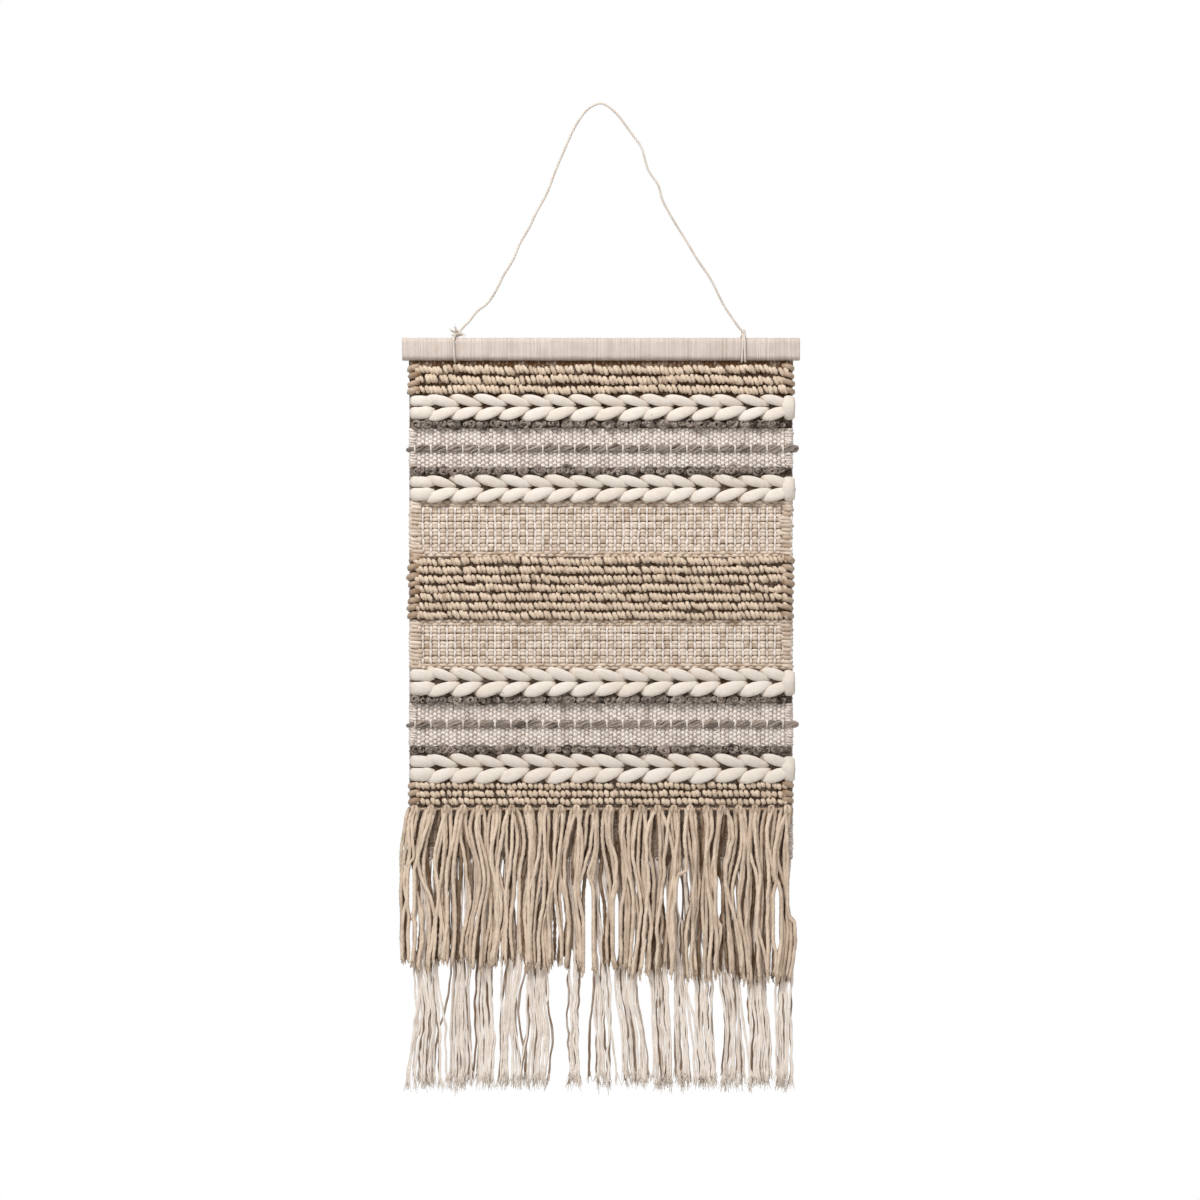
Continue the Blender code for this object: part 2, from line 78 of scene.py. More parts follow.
# Cord and its knots
CORD_DIAMETER = 2.6 * MM
KNOT_HEIGHT = -0.2595
LEFT_KNOT = np.array([-0.16195, 0.0, KNOT_HEIGHT])
RIGHT_HITCH = np.array([0.16115, 0.0, KNOT_HEIGHT])
LEFT_STRAND_X = -0.16595
KNOT_RADIUS, HITCH_RADIUS, GAP = 4.8 * MM, 3.2 * MM, 0.3 * MM
CORD_ROUTE = (
    (-0.148, -0.245), (-0.140, -0.235), (-0.128, -0.2255), (-0.119, -0.212), (-0.110, -0.194),
    (-0.0995, -0.177), (-0.0915, -0.158), (-0.0815, -0.141), (-0.073, -0.123), (-0.061, -0.101),
    (-0.051, -0.075), (-0.041, -0.0515), (-0.0295, -0.0265), (-0.017, -0.0085), (-0.0055, -0.0010),
    (0.0045, -0.0010), (0.019, -0.0130), (0.035, -0.0345), (0.046, -0.0505), (0.053, -0.074),
    (0.0645, -0.092), (0.070, -0.110), (0.0825, -0.133), (0.095, -0.153), (0.1095, -0.177),
    (0.1245, -0.1995), (0.138, -0.2265), (0.1525, -0.2485),
)

# Weave
WARPS = 96
WARP_PITCH = 2 * HALF_WIDTH / WARPS
WARP_X = -HALF_WIDTH + WARP_PITCH * (np.arange(WARPS) + 0.5)
GREY_PICK, BEIGE_PAIR, BACK_PICK = 2.6 * MM, 8.9 * MM, 3.9 * MM
BARE_WARP = 9.0 * MM  # the warps leave the bar with no wefts over this length


# ---------------------------------------------------------------- materials

RELIEF = 0.3 * MM  # depth of fibres and grain


def linear(red, green, blue):
    """A display colour, 0 to 255, as linear light."""
    out = []
    for value in (red, green, blue):
        c = value / 255
        out.append(c / 12.92 if c <= 0.04045 else ((c + 0.055) / 1.055) ** 2.4)
    return (*out, 1.0)


def add_node(tree, kind, inputs, **settings):
    """A shader node; each input is given a value or is linked to another node's output."""
    node = tree.nodes.new("ShaderNode" + kind)
    for key, value in settings.items():
        setattr(node, key, value)
    for key, value in inputs.items():
        if isinstance(value, bpy.types.NodeSocket):
            tree.links.new(value, node.inputs[key])
        else:
            node.inputs[key].default_value = value
    return node


def yarn_material(name, dark, light, fibre_scale=1.6, fibre_depth=0.16, bump=0.5, sheen=0.15, drift_depth=0.22):
    """Spun yarn: each strand has its own tone between two colours, lowered where the builders paint shade into it,
    and fine fibres run along the ply.
    """
    material = bpy.data.materials.new(name)
    material.use_nodes = True
    tree = material.node_tree
    tree.nodes.clear()
    tone = add_node(tree, "Attribute", {}, attribute_name="tone")
    fibre = add_node(tree, "Attribute", {}, attribute_name="fibre")
    place = add_node(tree, "TexCoord", {})
    # slow variation along the yarn, added to the strand's own tone
    drift = add_node(tree, "TexNoise", {"Vector": place.outputs["Object"], "Scale": 90.0, "Detail": 2.0})
    spread = add_node(tree, "MapRange", {"Value": drift.outputs["Fac"], "From Min": 0.3, "From Max": 0.7,
                                         "To Min": -drift_depth, "To Max": drift_depth})
    total = add_node(tree, "Math", {0: tone.outputs["Fac"], 1: spread.outputs["Result"]}, operation="ADD",
                     use_clamp=True)
    base = add_node(tree, "Mix", {"Factor": total.outputs["Value"], "A": dark, "B": light}, data_type="RGBA")
    # fibres
    hairs = add_node(tree, "TexNoise", {"Vector": fibre.outputs["Vector"], "Scale": fibre_scale, "Detail": 3.0,
                                        "Roughness": 0.6})
    shade = add_node(tree, "MapRange", {"Value": hairs.outputs["Fac"], "From Min": 0.32, "From Max": 0.68,
                                        "To Min": 1.0 - fibre_depth, "To Max": 1.0 + fibre_depth * 0.35})
    tint = add_node(tree, "VectorMath", {0: base.outputs["Result"], "Scale": shade.outputs["Result"]},
                    operation="SCALE")
    relief = add_node(tree, "Bump", {"Strength": bump, "Distance": RELIEF, "Height": hairs.outputs["Fac"]})
    shader = add_node(tree, "BsdfPrincipled", {
        "Roughness": 0.95, "Specular IOR Level": 0.15, "Sheen Weight": sheen, "Sheen Roughness": 0.5,
        "Base Color": tint.outputs["Vector"], "Normal": relief.outputs["Normal"]})
    add_node(tree, "OutputMaterial", {"Surface": shader.outputs["BSDF"]})
    return material


def wood_material():
    material = bpy.data.materials.new("sawn_wood")
    material.use_nodes = True
    tree = material.node_tree
    shader = tree.nodes["Principled BSDF"]
    shader.inputs["Roughness"].default_value = 0.75
    place = add_node(tree, "TexCoord", {})
    squeeze = add_node(tree, "Mapping", {"Scale": (6, 260, 190), "Vector": place.outputs["Object"]})
    grain = add_node(tree, "TexNoise", {"Scale": 1.0, "Detail": 5.0, "Vector": squeeze.outputs["Vector"]})
    ramp = add_node(tree, "ValToRGB", {"Fac": grain.outputs["Fac"]})
    for stop, position, colour in zip(ramp.color_ramp.elements, (0.35, 0.68), ((168, 130, 92), (214, 182, 140))):
        stop.position, stop.color = position, linear(*colour)
    bump = add_node(tree, "Bump", {"Strength": 0.3, "Distance": RELIEF, "Height": grain.outputs["Fac"]})
    tree.links.new(ramp.outputs["Color"], shader.inputs["Base Color"])
    tree.links.new(bump.outputs["Normal"], shader.inputs["Normal"])
    return material


COTTON_CORD = yarn_material("cotton_cord", linear(176, 158, 142), linear(228, 218, 208), bump=0.6)
WINDING = yarn_material("winding_cotton", linear(150, 128, 108), linear(222, 210, 202), fibre_depth=0.13,
                        drift_depth=0.07)
WARP = yarn_material("warp_cotton", linear(146, 118, 94), linear(239, 229, 221), fibre_depth=0.14)
CREAM_WEFT = yarn_material("cream_weft", linear(150, 115, 77), linear(234, 218, 202), fibre_depth=0.18)
# cotton whose dark end is a painted shade colour, for weave lying in shade under the bar, pile, braids and fringe
HIDDEN = yarn_material("shaded_cotton", linear(96, 66, 38), linear(226, 212, 198), fibre_depth=0.18)
LOOP_YARN = yarn_material("loop_cotton", linear(126, 88, 52), linear(229, 209, 187), fibre_depth=0.24, bump=0.8,
                          sheen=0.05, drift_depth=0.16)
FRINGE_YARN = yarn_material("fringe_cotton", linear(114, 87, 62), linear(238, 217, 195), fibre_depth=0.28,
                            bump=0.8, sheen=0.05, drift_depth=0.14)
WARP_ENDS = yarn_material("warp_end_cotton", linear(134, 106, 80), linear(247, 236, 225), fibre_depth=0.16,
                          drift_depth=0.12)
ROVING = yarn_material("cream_roving", linear(200, 175, 146), linear(230, 221, 211), fibre_scale=0.9,
                       fibre_depth=0.09, bump=0.45, sheen=0.1, drift_depth=0.08)
GREY_YARN = yarn_material("grey_boucle", linear(58, 46, 38), linear(190, 174, 162), fibre_depth=0.45, bump=0.9)
# painted shadow: the dark sheet between the yarns carries this colour in place of shade
GROUND_SHADOW = yarn_material("ground_shadow_weave", linear(104, 73, 44), linear(144, 108, 72), fibre_depth=0.2)
SOFTWOOD = wood_material()


# ---------------------------------------------------------------- yarn builder

def wander(count, steps, size, waves=3.0):
    """Smooth random wobble for several strands, shape (count, steps)."""
    t = np.linspace(0, 1, steps)[None, :]
    total = np.zeros((count, steps))
    for k in range(4):
        speed = waves * (0.4 + 0.45 * k) * RNG.uniform(0.7, 1.3, (count, 1))
        weight = RNG.normal(0, 1, (count, 1)) / math.sqrt(1 + k)
        total += weight * np.sin(2 * math.pi * (speed * t + RNG.uniform(0, 1, (count, 1))))
    return size * total / 1.5


def smooth(points, steps):
    """Points on a Catmull-Rom curve, evenly spaced in length, shape (steps, 3)."""
    points = np.asarray(points, float)
    ends = np.vstack([2 * points[0] - points[1], points, 2 * points[-1] - points[-2]])
    t = np.linspace(0, 1, 24, endpoint=False)[:, None]
    fine = []
    for a, b, c, d in zip(ends, ends[1:], ends[2:], ends[3:]):
        fine.append(0.5 * (2 * b + (c - a) * t + (2 * a - 5 * b + 4 * c - d) * t**2
                           + (3 * b - a - 3 * c + d) * t**3))
    fine = np.vstack([*fine, points[-1:]])
    walked = np.concatenate([[0], np.cumsum(np.linalg.norm(np.diff(fine, axis=0), axis=1))])
    targets = np.linspace(0, walked[-1], steps)
    return np.stack([np.interp(targets, walked, fine[:, k]) for k in range(3)], axis=1)


class Yarn:
    """Gathers tubes of yarn, closed at both ends, into one mesh."""

    def __init__(self):
        self.verts, self.quads, self.caps, self.fibre, self.tone, self.count = [], [], {}, [], [], 0

    def add(self, paths, radii, sides=8, tone=0.5, tone_spread=0.0, thin=1.0,
            lobes=2, depth=0.0, pitch=0.02, upright=False, ring=False, behind=None):
        """Tubes along paths (strands, steps, 3). thin scales the section towards the wall; lobes, depth
        and pitch twist plies round it; upright keeps the section square to the wall; a ring joins its
        ends; behind is the tone of the half that faces the wall."""
        paths = np.asarray(paths, float)
        if paths.ndim == 2:
            paths = paths[None]
        strands, steps, _ = paths.shape
        radii = np.broadcast_to(np.asarray(radii, float), (strands, steps))
        if ring:
            tangent = np.roll(paths, -1, axis=1) - np.roll(paths, 1, axis=1)
        else:
            tangent = np.gradient(paths, axis=1)
        tangent /= np.linalg.norm(tangent, axis=2, keepdims=True) + 1e-12
        side = np.zeros_like(paths)
        towards = np.array([0.0, 1.0, 0.0])
        if upright:
            side[:] = towards - (tangent @ towards)[..., None] * tangent
        else:
            start = tangent[:, 0]
            guide = np.where(np.abs(start[:, 1:2]) < 0.9, towards, np.array([1.0, 0.0, 0.0]))
            side[:, 0] = guide - np.sum(guide * start, axis=1, keepdims=True) * start
            for i in range(1, steps):
                last, along = side[:, i - 1], tangent[:, i]
                side[:, i] = last - np.sum(last * along, axis=1, keepdims=True) * along
                side[:, i] /= np.linalg.norm(side[:, i], axis=1, keepdims=True) + 1e-12
        side /= np.linalg.norm(side, axis=2, keepdims=True) + 1e-12
        across = np.cross(tangent, side)
        step_length = np.linalg.norm(np.diff(paths, axis=1), axis=2)
        walked = np.concatenate([np.zeros((strands, 1)), np.cumsum(step_length, axis=1)], axis=1)
        twist = 2 * math.pi * (walked / pitch + RNG.uniform(0, 1, (strands, 1)))
        angle = 2 * math.pi * np.arange(sides) / sides
        turned = angle[None, None, :] - twist[..., None]
        radius = radii[..., None] * (1 + depth * np.cos(lobes * turned))
        verts = (paths[:, :, None, :]
                 + (radius * np.cos(angle) * thin)[..., None] * side[:, :, None, :]
                 + (radius * np.sin(angle))[..., None] * across[:, :, None, :])
        lift = RNG.uniform(0, 900, (strands, 1, 1))
        fibre = np.stack([np.cos(turned) * radii[..., None] / MM,
                          np.sin(turned) * radii[..., None] / MM,
                          np.broadcast_to(walked[..., None] / MM * 0.15 + lift, turned.shape)], axis=-1)
        tone = np.broadcast_to(np.asarray(tone, float), (strands,)) if np.ndim(tone) < 2 else tone
        if np.ndim(tone) == 1:
            tone = np.clip(tone + tone_spread * RNG.normal(0, 1, strands), 0, 1)[:, None]
        tones = np.broadcast_to(np.broadcast_to(tone, (strands, steps))[..., None], turned.shape)
        # behind gives the half facing the wall its own tone, so the two halves can carry different painted shade
        if behind is not None:
            tones = np.where(np.cos(angle) < 0.2, tones, np.broadcast_to(behind, (strands, steps))[..., None])
        tones = np.clip(tones, 0, 1)
        index = self.count + np.arange(strands * steps * sides).reshape(strands, steps, sides)
        following = np.roll(index, -1, axis=2)
        if ring:
            nearer, further = index, np.roll(index, -1, axis=1)
            near_next, far_next = following, np.roll(following, -1, axis=1)
        else:
            nearer, further = index[:, :-1], index[:, 1:]
            near_next, far_next = following[:, :-1], following[:, 1:]
            self.caps.setdefault(sides, []).append(index[:, 0, ::-1].reshape(-1, sides))
            self.caps[sides].append(index[:, -1].reshape(-1, sides))
        self.quads.append(np.stack([nearer, near_next, far_next, further], axis=-1).reshape(-1, 4))
        self.verts.append(verts.reshape(-1, 3))
        self.fibre.append(fibre.reshape(-1, 3))
        self.tone.append(tones.reshape(-1))
        self.count += strands * steps * sides

    def build(self, name, material, slot):
        groups = [np.concatenate(self.quads)] + [np.concatenate(c) for c in self.caps.values()]
        return make_mesh(name, np.concatenate(self.verts), groups, material,
                         np.concatenate(self.tone), np.concatenate(self.fibre), flat_from=len(groups[0]))


def make_mesh(name, verts, groups, material, tone, fibre, flat_from=None):
    """One mesh object from arrays of vertices and of faces with the same number of corners."""
    corners = np.concatenate([g.ravel() for g in groups]).astype(np.int32)
    sizes = np.concatenate([np.full(len(g), g.shape[1]) for g in groups])
    starts = np.concatenate([[0], np.cumsum(sizes)[:-1]]).astype(np.int32)
    mesh = bpy.data.meshes.new(name)
    mesh.vertices.add(len(verts))
    mesh.vertices.foreach_set("co", np.asarray(verts, np.float32).ravel())
    mesh.loops.add(len(corners))
    mesh.loops.foreach_set("vertex_index", corners)
    mesh.polygons.add(len(sizes))
    mesh.polygons.foreach_set("loop_start", starts)
    curved = np.ones(len(sizes), bool)
    if flat_from is not None:
        curved[flat_from:] = False
    mesh.polygons.foreach_set("use_smooth", curved)
    mesh.update(calc_edges=True)
    mesh.attributes.new("tone", "FLOAT", "POINT").data.foreach_set("value", np.asarray(tone, np.float32))
    mesh.attributes.new("fibre", "FLOAT_VECTOR", "POINT").data.foreach_set(
        "vector", np.asarray(fibre, np.float32).ravel())
    mesh.materials.append(material)
    thing = bpy.data.objects.new(name, mesh)
    bpy.context.scene.collection.objects.link(thing)
    return thing


# ---------------------------------------------------------------- camera, light, floor

def set_up_view():
    scene = bpy.context.scene
    camera = bpy.data.objects.new("camera", bpy.data.cameras.new("camera"))
    camera.data.lens, camera.data.sensor_width = 120, 36
    camera.location = (-0.0011, -4.523, -0.5614)
    camera.rotation_euler = (math.pi / 2, 0, 0)
    scene.collection.objects.link(camera)
    scene.camera = camera
    scene.view_settings.view_transform = "Standard"
    world = bpy.data.worlds.new("studio")
    world.use_nodes = True
    scene.world = world
    tree = world.node_tree
    tree.nodes.clear()
    # the studio is brighter in front of the object than behind it
    aim = add_node(tree, "TexCoord", {})
    split = add_node(tree, "SeparateXYZ", {"Vector": aim.outputs["Generated"]})
    level = add_node(tree, "MapRange", {"Value": split.outputs["Y"], "From Min": -0.8, "From Max": 0.6,
                                        "To Min": 0.50, "To Max": 0.20})
    lit = add_node(tree, "Background", {"Color": (1.0, 0.985, 0.965, 1), "Strength": level.outputs["Result"]})
    seen = add_node(tree, "Background", {"Color": (1, 1, 1, 1)})
    path = add_node(tree, "LightPath", {})
    mix = add_node(tree, "MixShader", {"Fac": path.outputs["Is Camera Ray"], 1: lit.outputs["Background"],
                                       2: seen.outputs["Background"]})
    add_node(tree, "OutputWorld", {"Surface": mix.outputs["Shader"]})

    for name, place, size, power in (("key", (-0.9, -1.8, 1.7), 0.8, 74), ("fill", (1.9, -2.4, 0.3), 1.8, 10),
                                     ("rear", (0.8, 2.4, 1.0), 1.4, 60)):
        lamp = bpy.data.objects.new(name, bpy.data.lights.new(name, "AREA"))
        lamp.data.shape, lamp.data.size, lamp.data.energy = "DISK", size, power
        lamp.location = place
        aim = np.array([0.0, 0.0, -0.6]) - np.array(place)
        lamp.rotation_euler = (math.acos(-aim[2] / np.linalg.norm(aim)), 0,
                               math.atan2(aim[1], aim[0]) - math.pi / 2)
        scene.collection.objects.link(lamp)
    floor_mesh = bpy.data.meshes.new("floor")
    floor_radius, floor_z, corners = 1.4, -1.60, 64
    turns = 2 * math.pi * np.arange(corners) / corners
    ring = [(floor_radius * math.cos(turn), floor_radius * math.sin(turn), floor_z) for turn in turns]
    floor_mesh.from_pydata(ring, [], [list(range(corners))])
    floor = bpy.data.objects.new("floor", floor_mesh)
    paint = bpy.data.materials.new("pale_floor")
    paint.use_nodes = True
    shader = paint.node_tree.nodes["Principled BSDF"]
    shader.inputs["Base Color"].default_value = (0.86, 0.86, 0.85, 1)
    shader.inputs["Roughness"].default_value = 0.8
    floor_mesh.materials.append(paint)
    scene.collection.objects.link(floor)


# ---------------------------------------------------------------- cord and knots

def hanging_cord():
    middle = [np.array([x, 0.0, z]) for x, z in CORD_ROUTE]
    first, last = middle[0] - LEFT_KNOT, middle[-1] - RIGHT_HITCH
    start = LEFT_KNOT + first / np.linalg.norm(first) * (KNOT_RADIUS + GAP)
    end = RIGHT_HITCH + last / np.linalg.norm(last) * (HITCH_RADIUS + GAP)
    route = smooth([start, *middle, end], 880)
    # the tube starts inside the knots, so that no gap shows
    inner = np.vstack([LEFT_KNOT + (route[0] - LEFT_KNOT) * 0.3, route,
                       RIGHT_HITCH + (route[-1] - RIGHT_HITCH) * 0.3])
    tube = smooth(inner[:: 8], 880)
    tube[0], tube[-1] = inner[0], inner[-1]
    yarn = Yarn()
    yarn.add(tube, 1.25 * MM, sides=10, tone=0.75, depth=0.17, pitch=7.5 * MM)
    cord = yarn.build("hanging_cord_yarn", COTTON_CORD, "cord_cotton")
    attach(cord, "cord")
    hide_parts("hanging_cord")


def bar_outline(grow, steps=8):
    """Outline in (Y, Z) of the wound bar, grown outward, anticlockwise seen from +X."""
    radius = BAR_EDGE_RADIUS + grow
    half_depth, half_height = BAR_HALF_DEPTH + grow, (BAR_TOP - BAR_BOTTOM) / 2 + grow
    middle = (BAR_TOP + BAR_BOTTOM) / 2
    points = []
    corners = ((1, 1), (-1, 1), (-1, -1), (1, -1))
    for quarter, (side_y, side_z) in enumerate(corners):
        for step in range(steps + 1):
            turn = math.pi / 2 * (quarter + step / steps)
            points.append((side_y * (half_depth - radius) + radius * math.cos(turn),
                           middle + side_z * (half_height - radius) + radius * math.sin(turn)))
    return np.array(points)


def bar_loop(yarn, x, grow, radius, slant=0.0, tone=0.8, steps=56, **more):
    """A strand passed once round the bar, slanted by some way over the bar's height."""
    outline = bar_outline(grow)
    closed = np.vstack([outline, outline[:1]])
    walked = np.concatenate([[0], np.cumsum(np.linalg.norm(np.diff(closed, axis=0), axis=1))])
    targets = np.linspace(0, walked[-1], steps, endpoint=False)
    y, z = np.interp(targets, walked, closed[:, 0]), np.interp(targets, walked, closed[:, 1])
    height = (z - BAR_BOTTOM) / (BAR_TOP - BAR_BOTTOM) - 0.5
    yarn.add(np.stack([x + slant * height * np.where(y < 0, 1, -1), y, z], axis=1), radius,
             tone=tone, ring=True, **more)


def frayed_end(yarn, root, direction, length, hairs, spread=0.45, radius=0.22 * MM, tone=0.85):
    """Loose fibres that leave a cut end and part."""
    direction = np.array(direction, float)
    direction /= np.linalg.norm(direction)
    steps = 7
    t = np.linspace(0, 1, steps)[None, :, None]
    aim = direction + RNG.normal(0, spread, (hairs, 3))
    bend = RNG.normal(0, spread * 0.6, (hairs, 3))
    reach = length * RNG.uniform(0.55, 1.1, (hairs, 1, 1))
    starts = np.array(root) + RNG.normal(0, 0.5 * MM, (hairs, 3))
    paths = starts[:, None] + reach * (t * (0.45 * direction + 0.55 * aim[:, None]) + t**2 * 0.35 * bend[:, None])
    yarn.add(paths, radius * np.linspace(1.25, 0.6, steps), sides=5, tone=tone, tone_spread=0.1)


def off(point, x, y, z):
    """A place some millimetres away from a point."""
    return point + np.array([x, y, z]) * MM


def knots():
    yarn = Yarn()
    t = np.linspace(0, 2 * math.pi, 64, endpoint=False)
    trefoil = np.stack([np.sin(t) + 2 * np.sin(2 * t), -0.75 * np.sin(3 * t),
                        np.cos(t) - 2 * np.cos(2 * t)], axis=1)
    yarn.add(LEFT_KNOT + trefoil * 1.15 * MM, 1.35 * MM, tone=0.75, depth=0.15, pitch=7 * MM, ring=True)
    frayed_end(yarn, off(LEFT_KNOT, -2.0, -2.0, 0.5), (-0.9, -0.2, 0.5), 8 * MM, 26, 0.28)
    frayed_end(yarn, off(LEFT_KNOT, -1.5, -1.5, 1.0), (-0.2, -0.2, 1.0), 7 * MM, 22, 0.25)
    frayed_end(yarn, off(LEFT_KNOT, 1.5, -2.5, -1.5), (1.0, -0.5, -0.25), 6.5 * MM, 26, 0.35)
    frayed_end(yarn, off(LEFT_KNOT, -3.0, -3.5, -2.0), (-0.5, -0.5, -0.3), 5 * MM, 16, 0.4)
    bar_loop(yarn, LEFT_STRAND_X, GAP + CORD_DIAMETER / 2, 1.25 * MM, slant=-1.6 * MM, depth=0.15, pitch=7 * MM)
    link = smooth([off(LEFT_KNOT, -1.5, -2, -1), (LEFT_STRAND_X + 0.8 * MM, -5.5 * MM, BAR_TOP + 1.6 * MM),
                   (LEFT_STRAND_X - 0.6 * MM, -8.2 * MM, BAR_TOP - 4 * MM)], 12)
    yarn.add(link, 1.3 * MM, tone=0.8, depth=0.15, pitch=7 * MM)
    left = yarn.build("left_knot_yarn", COTTON_CORD, "cord_cotton")
    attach(left, "bar")
    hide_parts("left_knot")

    yarn = Yarn()
    for k, slant in ((-0.5, 1.4), (0.5, -0.6)):
        bar_loop(yarn, RIGHT_HITCH[0] + k * 2.7 * MM, GAP + CORD_DIAMETER / 2, 1.2 * MM, slant=slant * MM,
                 depth=0.15, pitch=7 * MM)
    turn = np.linspace(0, 1, 26)
    for phase in (0, math.pi):
        swirl = np.stack([RIGHT_HITCH[0] + 1.2 * MM * np.cos(phase + turn * 7.5),
                          -0.0035 - 0.0035 * turn**1.5 + 1.0 * MM * np.sin(phase + turn * 7.5),
                          KNOT_HEIGHT + 3.2 * MM - turn * 11.5 * MM], axis=1)
        yarn.add(swirl, 1.2 * MM, tone=0.8, depth=0.12, pitch=7 * MM)
    cap = smooth([off(RIGHT_HITCH, -1.4, 3.5, -4), off(RIGHT_HITCH, -1.2, 0.5, 2.2),
                  off(RIGHT_HITCH, 1.2, -3.2, 1.4), off(RIGHT_HITCH, 1.3, -6.0, -4.5)], 20)
    yarn.add(cap, 1.25 * MM, tone=0.8, depth=0.12, pitch=7 * MM)
    right = yarn.build("right_hitch_yarn", COTTON_CORD, "cord_cotton")
    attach(right, "bar")
    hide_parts("right_hitch")


# ---------------------------------------------------------------- winding on the bar

def winding():
    """The wound thread: turns side by side, a few raised, closed over the batten's ends."""
    turn_pitch = 1.15 * MM
    turns = int(round(2 * (BAR_END - 0.2 * MM) / turn_pitch))
    rings = turns * 3 + 1
    outline = bar_outline(-0.55 * MM, steps=7)
    normal = np.roll(outline, -1, axis=0) - np.roll(outline, 1, axis=0)
    normal = np.stack([normal[:, 1], -normal[:, 0]], axis=1)
    normal /= np.linalg.norm(normal, axis=1, keepdims=True)
    x = np.linspace(-BAR_END + 0.2 * MM, BAR_END - 0.2 * MM, rings)
    which = np.minimum(np.arange(rings) // 3, turns - 1)
    crest = np.where(np.arange(rings) % 3 == 0, RNG.uniform(0.0, 0.9, rings), 1.0)
    raised = RNG.normal(0, 0.07, turns) * MM
    proud = RNG.choice(turns, 16, replace=False)
    raised[proud] += RNG.uniform(0.25, 0.5, 16) * MM
    tone = np.clip(0.78 + 0.07 * RNG.normal(0, 1, turns), 0, 1)
    tone[proud] = RNG.uniform(0.95, 1.0, 16)
    lift = 0.30 * MM * crest + raised[which] * crest
    points = len(outline)
    lean_left = np.clip((-x - BAR_END + 45 * MM) / (45 * MM), 0, 1) * 3.2 * MM
    lean = wander(1, rings, 0.5 * MM, 9)[0] + lean_left
    height = (outline[:, 1] - BAR_BOTTOM) / (BAR_TOP - BAR_BOTTOM) - 0.5
    front = np.clip(-outline[:, 0] / BAR_HALF_DEPTH, -1, 1)
    edge_fade = np.clip((BAR_END - np.abs(x)) / (2.0 * MM), 0, 1)
    end_round = 1 - (1 - np.clip((BAR_END - np.abs(x)) / (1.2 * MM), 0, 1)) ** 2
    verts = np.zeros((rings, points, 3))
    verts[..., 0] = x[:, None] - lean[:, None] * edge_fade[:, None] * height[None] * front[None]
    grow = lift[:, None] + wander(points, rings, 0.10 * MM, 14).T - (1 - end_round[:, None]) * 1.1 * MM
    verts[..., 1:] = outline[None] + grow[..., None] * normal[None]
    inner = bar_outline(-1.2 * MM, steps=7)
    inside = np.zeros((2, points, 3))
    inside[0, :, 0], inside[1, :, 0] = -BAR_END + 0.3 * MM, BAR_END - 0.3 * MM
    inside[:, :, 1:] = inner[None]
    everything = np.concatenate([verts, inside[1:], inside[:1]], axis=0)
    index = np.arange(everything.shape[0] * points).reshape(-1, points)
    following, onward = np.roll(index, -1, axis=1), np.roll(index, -1, axis=0)
    onward_next = np.roll(following, -1, axis=0)
    faces = np.stack([index, following, onward_next, onward], axis=-1).reshape(-1, 4)
    around = np.concatenate([[0], np.cumsum(np.linalg.norm(np.diff(outline, axis=0), axis=1))])
    fibre = np.zeros_like(everything)
    fibre[..., 0] = everything[..., 0] / MM * 1.6
    fibre[..., 1] = np.arange(everything.shape[0])[:, None] // 3 * 3.1
    fibre[..., 2] = around[None] / MM * 0.25
    # painted shade: darker tone in the deeper grooves between turns
    groove_shade = np.where(crest < 0.25, -0.16, 0.0)
    tones = np.concatenate([tone[which] + groove_shade, [0.3, 0.3]])[:, None] + 0 * around[None]
    thread = make_mesh("winding_thread", everything.reshape(-1, 3), [faces], WINDING,
                       tones.ravel(), fibre.reshape(-1, 3))
    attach(thread, "bar")
    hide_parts("bar_wrap")


# ---------------------------------------------------------------- ground cloth and weave

def ground_sheet():
    """The hidden middle of the cloth, one closed slab, seen as shade between the yarns."""
    columns, rows, half = 57, 189, 0.45 * MM
    x = np.linspace(-HALF_WIDTH + 1.5 * MM, HALF_WIDTH - 1.5 * MM, columns)
    z = np.linspace(CLOTH_TOP - 6.6 * MM, HEM + 0.5 * MM, rows)
    grid_x, grid_z = np.meshgrid(x, z)
    front = np.stack([grid_x, np.full_like(grid_x, -half), grid_z], axis=-1)
    back = front.copy()
    back[..., 1] = half
    verts = np.concatenate([front.reshape(-1, 3), back.reshape(-1, 3)])
    index = np.arange(rows * columns).reshape(rows, columns)
    a, b, c, d = index[:-1, :-1], index[1:, :-1], index[1:, 1:], index[:-1, 1:]
    near = np.stack([a, b, c, d], axis=-1).reshape(-1, 4)
    far = near[:, ::-1] + rows * columns
    rim = np.concatenate([index[0, :], index[1:, -1], index[-1, -2::-1], index[-2:0:-1, 0]])
    rim_next = np.roll(rim, -1)
    edge = np.stack([rim, rim_next, rim_next + rows * columns, rim + rows * columns], axis=-1)
    fibre = verts / MM * np.array([0.3, 1, 1.4])
    sheet = make_mesh("ground_cloth_sheet", verts, [near, far, edge], GROUND_SHADOW,
                      np.full(len(verts), 0.5), fibre)
    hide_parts("ground_cloth_upper", "ground_cloth_lower")
    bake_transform(sheet)
    return sheet


